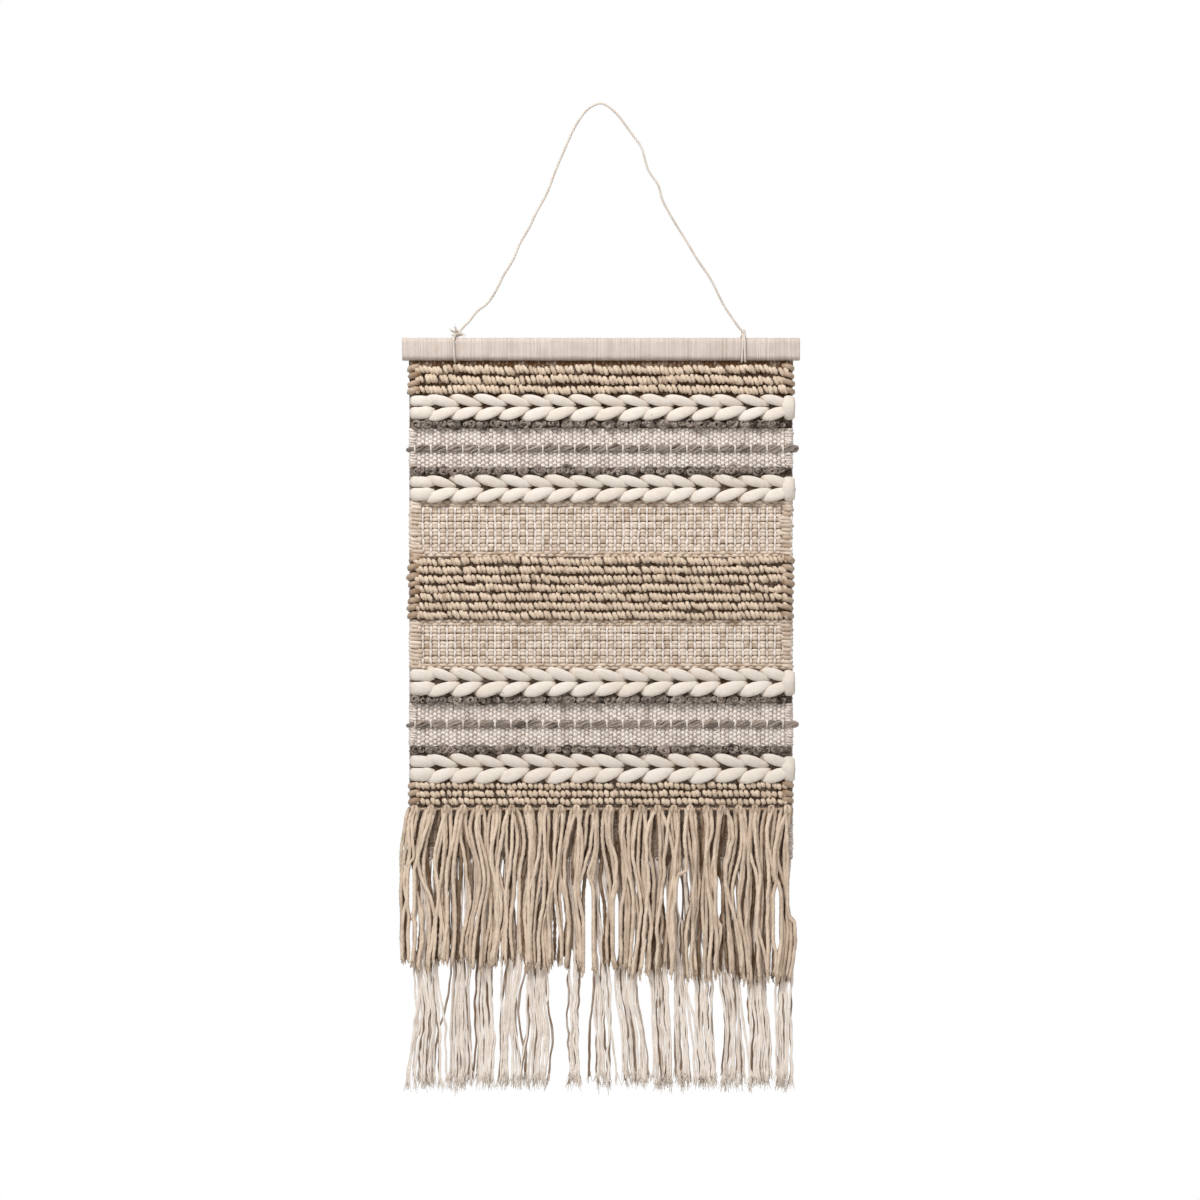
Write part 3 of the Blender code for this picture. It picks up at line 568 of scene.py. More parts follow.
def plain_weave(warp, weft, top, bottom, pick, warp_radius, weft_radius, lift, warp_tone=0.8, weft_tone=0.8,
                weft_steps=3, weft_sides=6, warp_sides=8, warp_rings=6, thin=0.62, wobble=1.0, dip_shade=0.5,
                narrow=0.0, ahead=0.0, tie=0.0, front=1.0, bare=0.0):
    """Warps and wefts that pass over and under each other; each is painted darker where it dives, as shade. The
    front is painted darker by a share, as shade where other yarns hide it, and the first picks are left out over
    the bare length."""
    picks = max(2, int(round((top - bottom) / pick)))
    step = (top - bottom) / picks
    rings = int(picks * warp_rings + 1)
    z = np.linspace(top + MM, bottom - MM, rings)
    phase = math.pi * (top - z) / step - math.pi / 2
    sign = np.where(np.arange(WARPS) % 2 == 0, 1.0, -1.0)[:, None]
    over = np.clip((1 + ahead) * sign * np.cos(phase)[None] + ahead, -1, 1)
    paths = np.zeros((WARPS, rings, 3))
    paths[..., 0] = WARP_X[:, None] + wander(WARPS, rings, 0.22 * MM * wobble, 2)
    paths[..., 1] = -lift * over
    paths[..., 2] = z[None]
    fourth = np.where(np.arange(WARPS) % 4 == 1, tie, 0.0)[:, None]
    own = warp_tone + 0.08 * RNG.normal(0, 1, (WARPS, 1)) + fourth
    # painted shade: the warp darker where it dives behind the wefts, and on its back half where it lies in front
    tone = own - (dip_shade - fourth) * (0.5 - 0.5 * over)
    back = own - dip_shade * (0.5 + 0.5 * over)
    radius = warp_radius * (1 - (narrow - fourth) * (0.5 - 0.5 * over)) * (1 + 0.07 * wander(WARPS, rings, 1, 6))
    # front scales down the tone of the front half as painted shade
    warp.add(paths, radius, sides=warp_sides, tone=tone * front, thin=thin, upright=True,
             behind=back)
    heights = top - step * (np.arange(picks) + 0.5)
    heights = heights[heights < top - bare]
    picks = len(heights)
    ends = weft_steps * WARPS + 1
    x = np.linspace(-HALF_WIDTH + 0.5 * MM, HALF_WIDTH - 0.5 * MM, ends)
    phase = math.pi * (x - WARP_X[0]) / WARP_PITCH
    sign = np.where(np.arange(picks) % 2 == 0, 1.0, -1.0)[:, None]
    over = -sign * np.cos(phase)[None]
    paths = np.zeros((picks, ends, 3))
    paths[..., 0] = x[None]
    paths[..., 1] = -lift * 0.8 * over
    paths[..., 2] = heights[:, None] + wander(picks, ends, 0.2 * MM * wobble, 5)
    own = weft_tone + 0.08 * RNG.normal(0, 1, (picks, 1)) + wander(picks, ends, 0.12, 24)
    # painted shade: the weft darker where it dives behind the warps, and on its back half where it lies in front;
    # front darkens the front half as painted shade
    tone, back = own - dip_shade * (0.5 - 0.5 * over), own - dip_shade * (0.5 + 0.5 * over)
    weft.add(paths, weft_radius * (1 + 0.08 * wander(picks, ends, 1, 30)), sides=weft_sides,
             tone=tone * front, thin=0.85, upright=True, behind=back)


def beige_weave(warp, weft, top, bottom):
    """Pairs of cream picks over every second warp, the others floating on top; tan rows at both edges."""
    edge_top, edge_bottom = 6.6 * MM, 5.6 * MM
    rings = int((top - bottom) / (1.2 * MM))
    z = np.linspace(top + MM, bottom - MM, rings)
    for first, y, radius in ((1, -2.45 * MM, 1.42 * MM), (0, 1.5 * MM, 1.35 * MM)):
        some = WARP_X[first::2]
        paths = np.zeros((len(some), rings, 3))
        paths[..., 0] = some[:, None] + wander(len(some), rings, 0.38 * MM, 2)
        ripple = np.cos(2 * math.pi * (top - edge_top - z) / BEIGE_PAIR)
        inside = (np.clip((top - edge_top + 2 * MM - z) / (2.5 * MM), 0, 1)
                  * np.clip((z - bottom - edge_bottom + 2 * MM) / (2.5 * MM), 0, 1))
        hidden = 0.4 * MM
        paths[..., 1] = (y + (0.45 * MM if first else 0) * ripple) * inside + hidden * (1 - inside)
        paths[..., 2] = z[None]
        # painted shade: warps darker in step with the ripple, where the front ones sink back, and much darker
        # where they run hidden under the edge rows
        tone = 0.84 + 0.10 * RNG.normal(0, 1, (len(some), 1)) - 0.34 * ripple[None] - 0.6 * (1 - inside[None])
        narrow = 1 - 0.24 * np.clip(ripple, 0, 1)
        warp.add(paths, radius * narrow * (1 + 0.13 * wander(len(some), rings, 1, 7)), sides=8,
                 tone=tone, thin=0.55, upright=True, behind=0.85)
    steps = 4 * WARPS + 1
    x = np.linspace(-HALF_WIDTH + MM, HALF_WIDTH - MM, steps)
    wave = np.cos(math.pi * (x - WARP_X[0]) / WARP_PITCH)
    pairs = int(round((top - bottom - edge_top - edge_bottom) / BEIGE_PAIR))
    pair_pitch = (top - bottom - edge_top - edge_bottom) / pairs
    centres, tones = [], []
    for k in range(pairs):
        middle = top - edge_top - pair_pitch * (k + 0.5)
        centres += [middle + 1.9 * MM, middle - 1.9 * MM]
        tones += [0.95, 0.74]
    paths = np.zeros((len(centres), steps, 3))
    paths[..., 0] = x[None]
    shape = np.sign(wave) * np.abs(wave) ** 0.6
    paths[..., 1] = -1.05 * MM - 1.30 * MM * shape[None]
    paths[..., 2] = np.array(centres)[:, None] + wander(len(centres), steps, 0.26 * MM, 6)
    # painted shade: wefts darker where they dive back behind the warps
    tone = np.array(tones)[:, None] + wander(len(centres), steps, 0.16, 34) - 0.30 * (0.5 - 0.5 * shape[None])
    radius = (2.2 - 0.45 * (0.5 - 0.5 * shape[None])) * MM
    weft.add(paths, radius * (1 + 0.07 * wander(len(centres), steps, 1, 40)), sides=10,
             tone=tone, thin=0.78, upright=True, depth=0.08, pitch=11 * MM, behind=0.85)
    for edge, inwards in ((top - edge_top, 1), (bottom + edge_bottom, -1)):
        for k in range(2):
            centre = edge + inwards * (k + 0.55) * 3.2 * MM
            front = (1.0 if k % 2 else -1.0) * wave
            path = np.stack([x, -1.4 * MM + 0.9 * MM * front, centre + wander(1, steps, 0.38 * MM, 7)[0]], axis=1)
            # painted shade: the edge picks darker where they lie further back
            weft.add(path, 1.95 * MM * (1 + 0.12 * wander(1, steps, 1, 40)), sides=10,
                     tone=0.64 + wander(1, steps, 0.18, 34) - 0.12 * front[None], upright=True,
                     depth=0.10, pitch=9 * MM)


def selvedge(yarn, top, bottom, pitch, radius, reach, tone, spread):
    """Wefts that turn round both edges of the cloth."""
    for side in (-1, 1):
        count = max(1, int(round((top - bottom) / pitch)))
        centres = top - (top - bottom) * (np.arange(count) + 0.5) / count
        depth = 2.0 * MM + 0.25 * radius
        path = smooth([(-reach, -depth * 0.9, 0), (-reach * 0.5, -depth * 1.15, 0), (-1.2 * MM, -depth * 0.85, 0),
                       (0.4 * MM, 0, 0), (-1.2 * MM, depth * 0.85, 0), (-reach, depth * 0.9, 0)], 15)
        paths = np.repeat(path[None], count, axis=0)
        jitter = RNG.normal(0, 1, (count, 4))
        paths[..., 0] = side * (HALF_WIDTH - radius + paths[..., 0] * (1 + 0.15 * jitter[:, :1])
                                + 0.35 * MM * jitter[:, 1:2])
        lean = (0.35 * pitch + 0.12 * pitch * jitter[:, 2:3]) * np.linspace(1, -1, 15)[None]
        paths[..., 2] = centres[:, None] + lean * side * 0.8 + 0.08 * pitch * jitter[:, 3:4]
        radii = radius * np.interp(np.arange(15), [0, 1, 2, 12, 13, 14], [0.75, 0.9, 1, 1, 0.9, 0.75])
        yarn.add(paths, radii * RNG.uniform(0.9, 1.08, (count, 1)), sides=8, tone=tone, tone_spread=spread,
                 depth=0.10, pitch=9 * MM)


def weaves(sheet_pieces):
    """The weave of each band: grey, beige, hidden behind pile and braids, and the plain band above the hem."""
    grey_upper = (low("boucle_row_1").z, high("boucle_row_2").z)
    grey_lower = (low("boucle_row_3").z, high("boucle_row_4").z)
    beige_upper = (low("braid_2").z, high("loop_pile_middle").z)
    beige_lower = (low("loop_pile_middle").z, high("braid_3").z)
    hem_zone = (low("loop_pile_bottom").z, HEM)

    def place(yarn, name, material, slot, body):
        piece = yarn.build(name, material, slot)
        if body == "fold":
            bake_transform(piece)
        elif body == "bend":
            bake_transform(piece)
        else:
            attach(piece, body)
        sheet_pieces.append(piece)

    for name, zone, body in (("upper", grey_upper, "cloth_upper"), ("lower", grey_lower, "cloth_lower")):
        warp, weft = Yarn(), Yarn()
        plain_weave(warp, weft, zone[0], zone[1], GREY_PICK, 2.35 * MM, 0.95 * MM, 1.1 * MM, warp_tone=0.95,
                    weft_tone=0.72, dip_shade=0.6, narrow=0.42, ahead=0.35, tie=0.16)
        edge = Yarn()
        selvedge(edge, zone[0], zone[1], 3.0 * MM, 1.7 * MM, 6 * MM, tone=0.75, spread=0.1)
        place(warp, f"grey_band_warp_{name}", WARP, "ground_weave", body)
        place(weft, f"grey_band_weft_{name}", WARP, "ground_weave", body)
        place(edge, f"grey_band_edge_{name}", WARP, "ground_weave", body)
    for name, zone, body in (("upper", beige_upper, "cloth_upper"), ("lower", beige_lower, "fold")):
        warp, weft, edge = Yarn(), Yarn(), Yarn()
        beige_weave(warp, weft, *zone)
        selvedge(edge, zone[0], zone[1], 4.6 * MM, 2.4 * MM, 11 * MM, tone=0.72, spread=0.12)
        place(warp, f"beige_band_warp_{name}", WARP, "ground_weave", body)
        place(weft, f"beige_band_weft_{name}", CREAM_WEFT, "ground_weave", body)
        place(edge, f"beige_band_edge_{name}", CREAM_WEFT, "ground_weave", body)
    hidden = (("a", CLOTH_TOP, grey_upper[0], "cloth_upper"),
              ("b", grey_upper[1], beige_upper[0], "cloth_upper"),
              ("c", beige_upper[1], beige_lower[0], "cloth_upper"),
              ("d", beige_lower[1], grey_lower[0], "cloth_lower"),
              ("e", grey_lower[1], hem_zone[0], "cloth_lower"))
    for name, top, bottom, body in hidden:
        warp, weft = Yarn(), Yarn()
        # painted shade: the front halves of the hidden weave are darkened by front, most in zone a below the bar
        plain_weave(warp, weft, top, bottom, BACK_PICK, 1.6 * MM, 1.75 * MM, 0.75 * MM, warp_tone=0.85,
                    weft_tone=0.75, weft_steps=2, warp_sides=6, warp_rings=3, dip_shade=0.0,
                    front=0.18 if name == "a" else 0.36,
                    bare=BARE_WARP if name == "a" else 0.0)
        # over the bare length, wide flat warps painted dark on the front as the shadow under the bar, light on the
        # back
        if name == "a":
            paths = np.zeros((WARPS, 9, 3))
            paths[..., 0] = WARP_X[:, None]
            paths[..., 2] = np.linspace(top + MM, top - BARE_WARP - 3 * MM, 9)
            warp.add(paths, 2.5 * MM, sides=8, tone=0.0, thin=0.4, upright=True, behind=0.75)
        place(warp, f"hidden_warp_{name}", HIDDEN, "ground_weave", "bend" if name == "a" else body)
        place(weft, f"hidden_weft_{name}", HIDDEN, "ground_weave", body)
    # the hem band behind the front fringe, its front painted darker as shade
    warp, weft, edge = Yarn(), Yarn(), Yarn()
    plain_weave(warp, weft, hem_zone[0], hem_zone[1] + 1.5 * MM, GREY_PICK, 1.3 * MM, 1.35 * MM, 0.7 * MM,
                warp_tone=0.75, weft_tone=0.65, warp_rings=4, dip_shade=0.25, front=0.6)
    selvedge(edge, hem_zone[0], hem_zone[1] + 2 * MM, 3.0 * MM, 1.7 * MM, 6 * MM, tone=0.75, spread=0.1)
    # a thin double thread twined along the hem holds the wefts in
    t = np.linspace(0, 1, 760)
    for phase in (0, math.pi):
        turn = phase + t * 48 * 2 * math.pi
        path = np.stack([(2 * t - 1) * (HALF_WIDTH - MM), -1.9 * MM * np.cos(turn),
                         HEM + 1.7 * MM + 0.8 * MM * np.sin(turn)], axis=1)
        edge.add(path, 0.8 * MM, sides=6, tone=0.85)
    place(warp, "hem_band_warp", HIDDEN, "ground_weave", "cloth_lower")
    place(weft, "hem_band_weft", HIDDEN, "ground_weave", "cloth_lower")
    place(edge, "hem_band_edge", WARP, "ground_weave", "cloth_lower")


# ---------------------------------------------------------------- loop pile

def loop_pile(node, rows, body, per_row, thick):
    """Rows of yarn loops: each leans, comes forward out of the cloth and dives back in."""
    top, bottom = high(node).z, low(node).z
    row_pitch = (top - bottom) / rows
    yarn = Yarn()
    steps = 14
    theta = np.linspace(0.02, math.pi - 0.02, steps)
    lens = np.sin(theta)
    inset = 9 * MM
    for row in range(rows):
        count = per_row + RNG.integers(-2, 3)
        x = np.linspace(-HALF_WIDTH + inset, HALF_WIDTH - inset, count) + RNG.normal(0, 0.7 * MM, count)
        wave = wander(1, count, 0.9 * MM, 6)[0]
        z = top - row_pitch * (row + 0.5) + wave + RNG.normal(0, 0.45 * MM, count)
        odd = RNG.uniform(0, 1, count) < 0.07
        lean = np.radians(np.clip(RNG.normal(29, 8, count) + 30 * odd, 4, 80))
        length = (row_pitch - 2.0 * thick) * RNG.uniform(0.9, 1.25, count) / np.cos(np.minimum(lean, 0.8)) ** 0.7
        proud = RNG.uniform(4.9, 6.6, count) * MM
        along = -0.5 * length[:, None] * np.cos(theta)[None]
        paths = np.zeros((count, steps, 3))
        paths[..., 0] = x[:, None] + along * np.sin(lean)[:, None]
        paths[..., 1] = -0.9 * MM - proud[:, None] * lens[None] ** 0.5
        paths[..., 2] = z[:, None] - along * np.cos(lean)[:, None]
        radius = thick * RNG.uniform(0.88, 1.1, count)[:, None] * (0.70 + 0.30 * lens ** 0.6)[None]
        # painted shade: each loop darker towards its roots, where it dives into the cloth
        shade = 0.96 + 0.10 * RNG.normal(0, 1, (count, 1)) - 0.65 * (1 - lens[None]) ** 1.4
        yarn.add(paths, radius, sides=12, tone=shade, depth=0.15, pitch=11 * MM, lobes=3)
    # turned edges
    for side in (-1, 1):
        count = max(2, int(round((top - bottom) / (8.6 * MM))))
        z = top - (top - bottom) * (np.arange(count) + 0.5) / count
        shape = smooth([(-9.5, -3, 0.5), (-6.5, -6.4, 0.9), (-2.8, -6.0, 0.5), (0.0, -1.8, 0), (-0.6, 1.6, -0.3),
                        (-6, 2.2, -0.4)], 17) * MM
        paths = np.repeat(shape[None], count, axis=0)
        paths[..., 0] = side * (HALF_WIDTH - 1.9 * MM + paths[..., 0] + RNG.normal(0, 0.7 * MM, (count, 1)))
        paths[..., 2] += z[:, None] + RNG.normal(0, 0.6 * MM, (count, 1)) + np.linspace(1.5, -1.5, 17)[None] * MM
        # painted shade: darker at the start, where the edge loop comes out from among the pile
        shade = 0.75 + 0.1 * RNG.normal(0, 1, (count, 1)) - 0.5 * np.linspace(1, 0, 17)[None] ** 2
        yarn.add(paths, RNG.uniform(2.9, 3.6, (count, 1)) * MM * np.ones(17), sides=12, tone=shade,
                 depth=0.13, pitch=11 * MM, lobes=3)
    piece = yarn.build(node + "_yarn", LOOP_YARN, "loop_yarn")
    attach(piece, body)
    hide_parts(node)
    return piece


# ---------------------------------------------------------------- chain braids

LEAVES = 15  # on each side of a braid


def braid(node, body):
    """A chain of roving: leaves rise from a seam and point right along it; the end wraps over the edge."""
    top, bottom = high(node).z, low(node).z
    seam = (top + bottom) / 2 + 0.7 * MM
    yarn = Yarn()
    steps = 26
    first_x, last_x = -HALF_WIDTH + 20.3 * MM, HALF_WIDTH - 34.4 * MM
    tips = np.linspace(first_x, last_x, LEAVES) + RNG.normal(0, 0.9 * MM, LEAVES)
    # one leaf from its tip: along X, depth, height over the seam, half thickness
    leaf = np.array([(-2.0, -2.2, 9.0, 2.0), (2.5, -5.4, 9.6, 4.0), (9.0, -7.5, 8.5, 5.6), (17.0, -8.0, 6.4, 5.9),
                     (25.0, -7.3, 4.1, 4.9), (31.5, -5.6, 2.5, 2.9), (35.5, -3.4, 1.7, 1.2)]) * MM
    base = smooth(leaf[:, :3], steps)
    radius = np.interp(base[:, 0], leaf[:, 0], leaf[:, 3])
    ends = np.linspace(0, 1, steps)
    # painted shade: each leaf darker at its tip and tail, where it tucks under its neighbour and into the seam
    shade = 0.9 - 0.7 * np.clip(1 - ends * 6, 0, 1) - 0.5 * np.clip(ends * 7 - 6, 0, 1)
    for side, reach in ((1, top - seam + 1.2 * MM), (-1, seam - bottom + 2.6 * MM)):
        scale = reach / (14.1 * MM)
        paths = np.repeat(base[None], LEAVES, axis=0)
        paths[..., 0] = tips[:, None] + paths[..., 0] * RNG.uniform(0.95, 1.06, (LEAVES, 1))
        paths[..., 2] = seam + side * scale * paths[..., 2] * RNG.uniform(0.94, 1.07, (LEAVES, 1))
        paths[..., 1] += RNG.normal(0, 0.3 * MM, (LEAVES, 1))
        radii = radius[None] * scale**0.9 * RNG.uniform(0.93, 1.06, (LEAVES, 1))
        yarn.add(paths, radii, sides=20, tone=shade[None] + 0.05 * RNG.normal(0, 1, (LEAVES, 1)),
                 thin=0.52, depth=0.02, pitch=0.10, lobes=3)
        # the leading strand turns in from the back and runs straight to the first leaf
        edge, lead_x = -HALF_WIDTH + 4.2 * MM, first_x + 5 * MM
        lead = smooth([(edge + 5 * MM, 1.8 * MM, seam + side * 6.3 * scale * MM),
                       (edge, -0.6 * MM, seam + side * 6.4 * scale * MM),
                       (edge + 1.4 * MM, -4.8 * MM, seam + side * 6.4 * scale * MM),
                       (edge + 8 * MM, -7.0 * MM, seam + side * 6.4 * scale * MM),
                       (lead_x - 9 * MM, -7.6 * MM, seam + side * 6.2 * scale * MM),
                       (lead_x - 2 * MM, -6.8 * MM, seam + side * 5.0 * scale * MM),
                       (lead_x + 4 * MM, -4.6 * MM, seam + side * 3.2 * scale * MM)], 36)
        t = np.linspace(0, 1, 36)
        lead_radius = np.interp(t, [0, 0.15, 0.3, 0.72, 0.86, 1],
                                np.array([4.4, 5.4, 5.9, 5.9, 4.8, 1.6]) * scale * MM)
        yarn.add(lead, lead_radius, sides=20, tone=0.9, thin=0.55, depth=0.02, pitch=0.09, lobes=3)
    # the turned end at the right: a flat strand over the front, and the edge of one behind it
    t = np.linspace(0, 1, 40)
    low_end = seam - bottom
    for x, back, r in ((HALF_WIDTH - 4.6 * MM, -1.6 * MM, 7.2 * MM), (HALF_WIDTH - 3.0 * MM, 3.0 * MM, 4.6 * MM)):
        wrap = smooth([(x, 2.6 * MM, seam + 6.5 * MM), (x + 0.4 * MM, -0.5 * MM + back, seam + 9.6 * MM),
                       (x, -4.8 * MM + back, seam + 8.3 * MM), (x - 0.5 * MM, -7.4 * MM + back, seam + 2 * MM),
                       (x - 0.3 * MM, -7.4 * MM + back, seam - 4.5 * MM),
                       (x + 0.5 * MM, -5.2 * MM + back, seam - low_end + 3.6 * MM),
                       (x + 1.0 * MM, -1.0 * MM + back, seam - low_end + 1.8 * MM),
                       (x + 1.0 * MM, 2.6 * MM, seam - low_end + 5 * MM)], 40)
        size = r * np.interp(t, [0, 0.2, 0.45, 0.7, 1], [0.7, 0.86, 1.04, 0.9, 0.7])
        yarn.add(wrap, size, sides=20, tone=0.88, thin=0.5, depth=0.02, pitch=0.09, lobes=3)
    piece = yarn.build(node + "_roving", ROVING, "roving")
    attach(piece, body)
    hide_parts(node)
    return piece


# ---------------------------------------------------------------- grey yarns

def boucle_row(node, body):
    """Curled yarn: swirls side by side over a dark core, with lighter plies and loose fibres."""
    top, bottom = high(node).z, low(node).z
    middle = (top + bottom) / 2
    yarn = Yarn()
    steps = 420
    x = np.linspace(-HALF_WIDTH + 3 * MM, HALF_WIDTH - 3 * MM, steps)
    for turn in (0, math.pi):
        twist = 2 * math.pi * x / (13 * MM) + turn
        yarn.add(np.stack([x, -2.4 * MM - 0.9 * MM * np.cos(twist), middle + 2.0 * MM * np.sin(twist)], axis=1),
                 2.0 * MM, sides=8, tone=0.04, depth=0.1, pitch=9 * MM)
    for lumps, shift, outer, thick, shade in ((27, 0.0, 5.3, 1.65, 0.52), (26, 0.5, 3.7, 1.35, 0.30),
                                              (48, 0.25, 2.3, 1.05, 0.62)):
        pitch = 2 * (HALF_WIDTH - 8 * MM) / 27
        centre = (-HALF_WIDTH + 8 * MM + (np.arange(lumps) * 27 / lumps + shift) * pitch
                  + RNG.normal(0, 1.3 * MM, lumps))
        t = np.linspace(0, 1, 30)[None]
        turns = RNG.uniform(1.15, 1.75, (lumps, 1)) * RNG.choice([-1, 1], (lumps, 1))
        angle = 2 * math.pi * (turns * t + RNG.uniform(0, 1, (lumps, 1)))
        size = (0.9 + (outer - 0.9) * t**0.8) * MM * RNG.uniform(0.85, 1.12, (lumps, 1))
        paths = np.zeros((lumps, 30, 3))
        paths[..., 0] = centre[:, None] + size * np.cos(angle) * 1.12
        paths[..., 1] = (-7.3 * MM + 3.0 * MM * t**1.3 + RNG.normal(0, 0.5 * MM, (lumps, 1))
                         + 0.5 * MM * np.sin(angle * 1.7))
        paths[..., 2] = middle + RNG.normal(0, 0.7 * MM, (lumps, 1)) + size * np.sin(angle)
        tone = shade + 0.13 * RNG.normal(0, 1, (lumps, 1)) + wander(lumps, 30, 0.2, 3)
        yarn.add(paths, thick * MM * (1 + wander(lumps, 30, 0.14, 4)), sides=9, tone=tone, depth=0.16,
                 pitch=6 * MM)
        # a lighter ply lies on each swirl
        some = paths[::2, 6:22] + np.array([0.3, -1.1, 0.5]) * MM
        yarn.add(some, 0.55 * MM, sides=6, tone=0.95, tone_spread=0.12)
    for k in range(64):
        place = (RNG.uniform(-1, 1) * (HALF_WIDTH - 6 * MM), -5.5 * MM, middle + RNG.normal(0, 2.2 * MM))
        frayed_end(yarn, place, (RNG.normal(), -0.7, RNG.normal()), 6 * MM, 5, 0.9, radius=0.26 * MM, tone=0.6)
    piece = yarn.build(node + "_yarn", GREY_YARN, "grey_yarn")
    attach(piece, body)
    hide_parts(node)
    return piece


def dash_row(node, body):
    """Floats of grey yarn, each a loose bundle of dark and light plies, held down by every fourth warp."""
    middle = (high(node).z + low(node).z) / 2
    yarn, ties = Yarn(), Yarn()
    centres = WARP_X[3::4]
    steps = 17
    t = np.linspace(-1, 1, steps)
    profile = (1 - np.abs(t) ** 3) ** 0.5
    count = len(centres)
    plies = 9
    for strand in range(plies):
        turn = (2 * math.pi * strand / plies + RNG.normal(0, 0.3, (count, 1))
                + t[None] * RNG.uniform(1.0, 1.8, (count, 1)))
        swell = profile[None] * RNG.uniform(0.8, 1.2, (count, 1))
        paths = np.zeros((count, steps, 3))
        paths[..., 0] = centres[:, None] + t[None] * 8.4 * MM
        paths[..., 1] = -3.0 * MM - 1.5 * MM * swell * np.cos(turn)
        paths[..., 2] = middle + 3.3 * MM * swell * np.sin(turn) + wander(count, steps, 0.3 * MM, 2)
        light = strand % 3 == 1
        yarn.add(paths, ((0.8 if light else 1.3) * MM * (0.5 + 0.5 * profile)[None]
                         * RNG.uniform(0.85, 1.15, (count, 1))),
                 sides=7, tone=1.0 if light else 0.64, tone_spread=0.18, depth=0.14, pitch=6 * MM)
    for centre in centres[1:-1]:
        frayed_end(yarn, (centre + RNG.normal(0, 3 * MM), -4 * MM, middle + RNG.normal(0, 1.6 * MM)),
                   (1, -0.3, RNG.normal()), 6 * MM, 4, 0.8, radius=0.24 * MM, tone=0.6)
    for side in (-1, 1):
        tip = smooth([(side * (HALF_WIDTH - 9 * MM), -2.4 * MM, middle),
                      (side * (HALF_WIDTH - 4 * MM), -3.4 * MM, middle - 0.5 * MM),
                      (side * (HALF_WIDTH + 1.2 * MM), -1.4 * MM, middle - 1.4 * MM),
                      (side * (HALF_WIDTH - 0.5 * MM), 1.8 * MM, middle - 1.8 * MM),
                      (side * (HALF_WIDTH - 9 * MM), 2.2 * MM, middle)], 18)
        yarn.add(tip, 2.4 * MM * np.interp(np.linspace(0, 1, 18), [0, 0.3, 1], [0.7, 1, 0.7]), sides=9, tone=0.45,
                 depth=0.15, pitch=7 * MM, lobes=3)
    crossing = WARP_X[1::4]
    z = np.linspace(4.4, -4.4, 13)
    paths = np.zeros((len(crossing), 13, 3))
    paths[..., 0] = crossing[:, None] + wander(len(crossing), 13, 0.25 * MM, 1)
    paths[..., 1] = (0.6 - 5.6 * np.exp(-(z / 4.2) ** 4))[None] * MM
    paths[..., 2] = middle + z[None] * MM
    ties.add(paths, 0.95 * MM, sides=8, tone=0.85, tone_spread=0.05, upright=True, thin=0.7)
    piece = yarn.build(node + "_yarn", GREY_YARN, "grey_yarn")
    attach(piece, body)
    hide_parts(node)
    tie = ties.build(node + "_ties", WARP, "ground_weave")
    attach(tie, body)
    return [piece, tie]


# ---------------------------------------------------------------- fringes

# Openings that show light through both fringes: middle, half width, top and bottom
GAPS = ((-0.0141, 0.0036, -0.881, -0.990), (0.0178, 0.0022, -0.893, -0.968), (0.0890, 0.0026, -0.876, -0.914),
        (0.1335, 0.0022, -0.878, -0.920), (0.1990, 0.0026, -0.886, -0.955), (0.2140, 0.0014, -0.868, -0.914),
        (-0.2145, 0.0018, -0.862, -0.916))


def part_at_gaps(paths, radius):
    """Push strands to the side of each opening on which they lie."""
    x, z = paths[..., 0], paths[..., 2]
    for middle, half, top, bottom in GAPS:
        nearest = np.argmin(np.abs(z - (0.45 * top + 0.55 * bottom)), axis=1)
        side = np.where(x[np.arange(len(x)), nearest] >= middle, 1.0, -1.0)[:, None]
        open_up = np.clip((top + 8 * MM - z) / (20 * MM), 0, 1) * np.clip((z - bottom + 8 * MM) / (20 * MM), 0, 1)
        need = (half + radius) * np.sin(0.5 * math.pi * open_up)
        x = np.where(need > 0.2 * MM, middle + side * np.maximum(side * (x - middle), need), x)
    paths[..., 0] = x


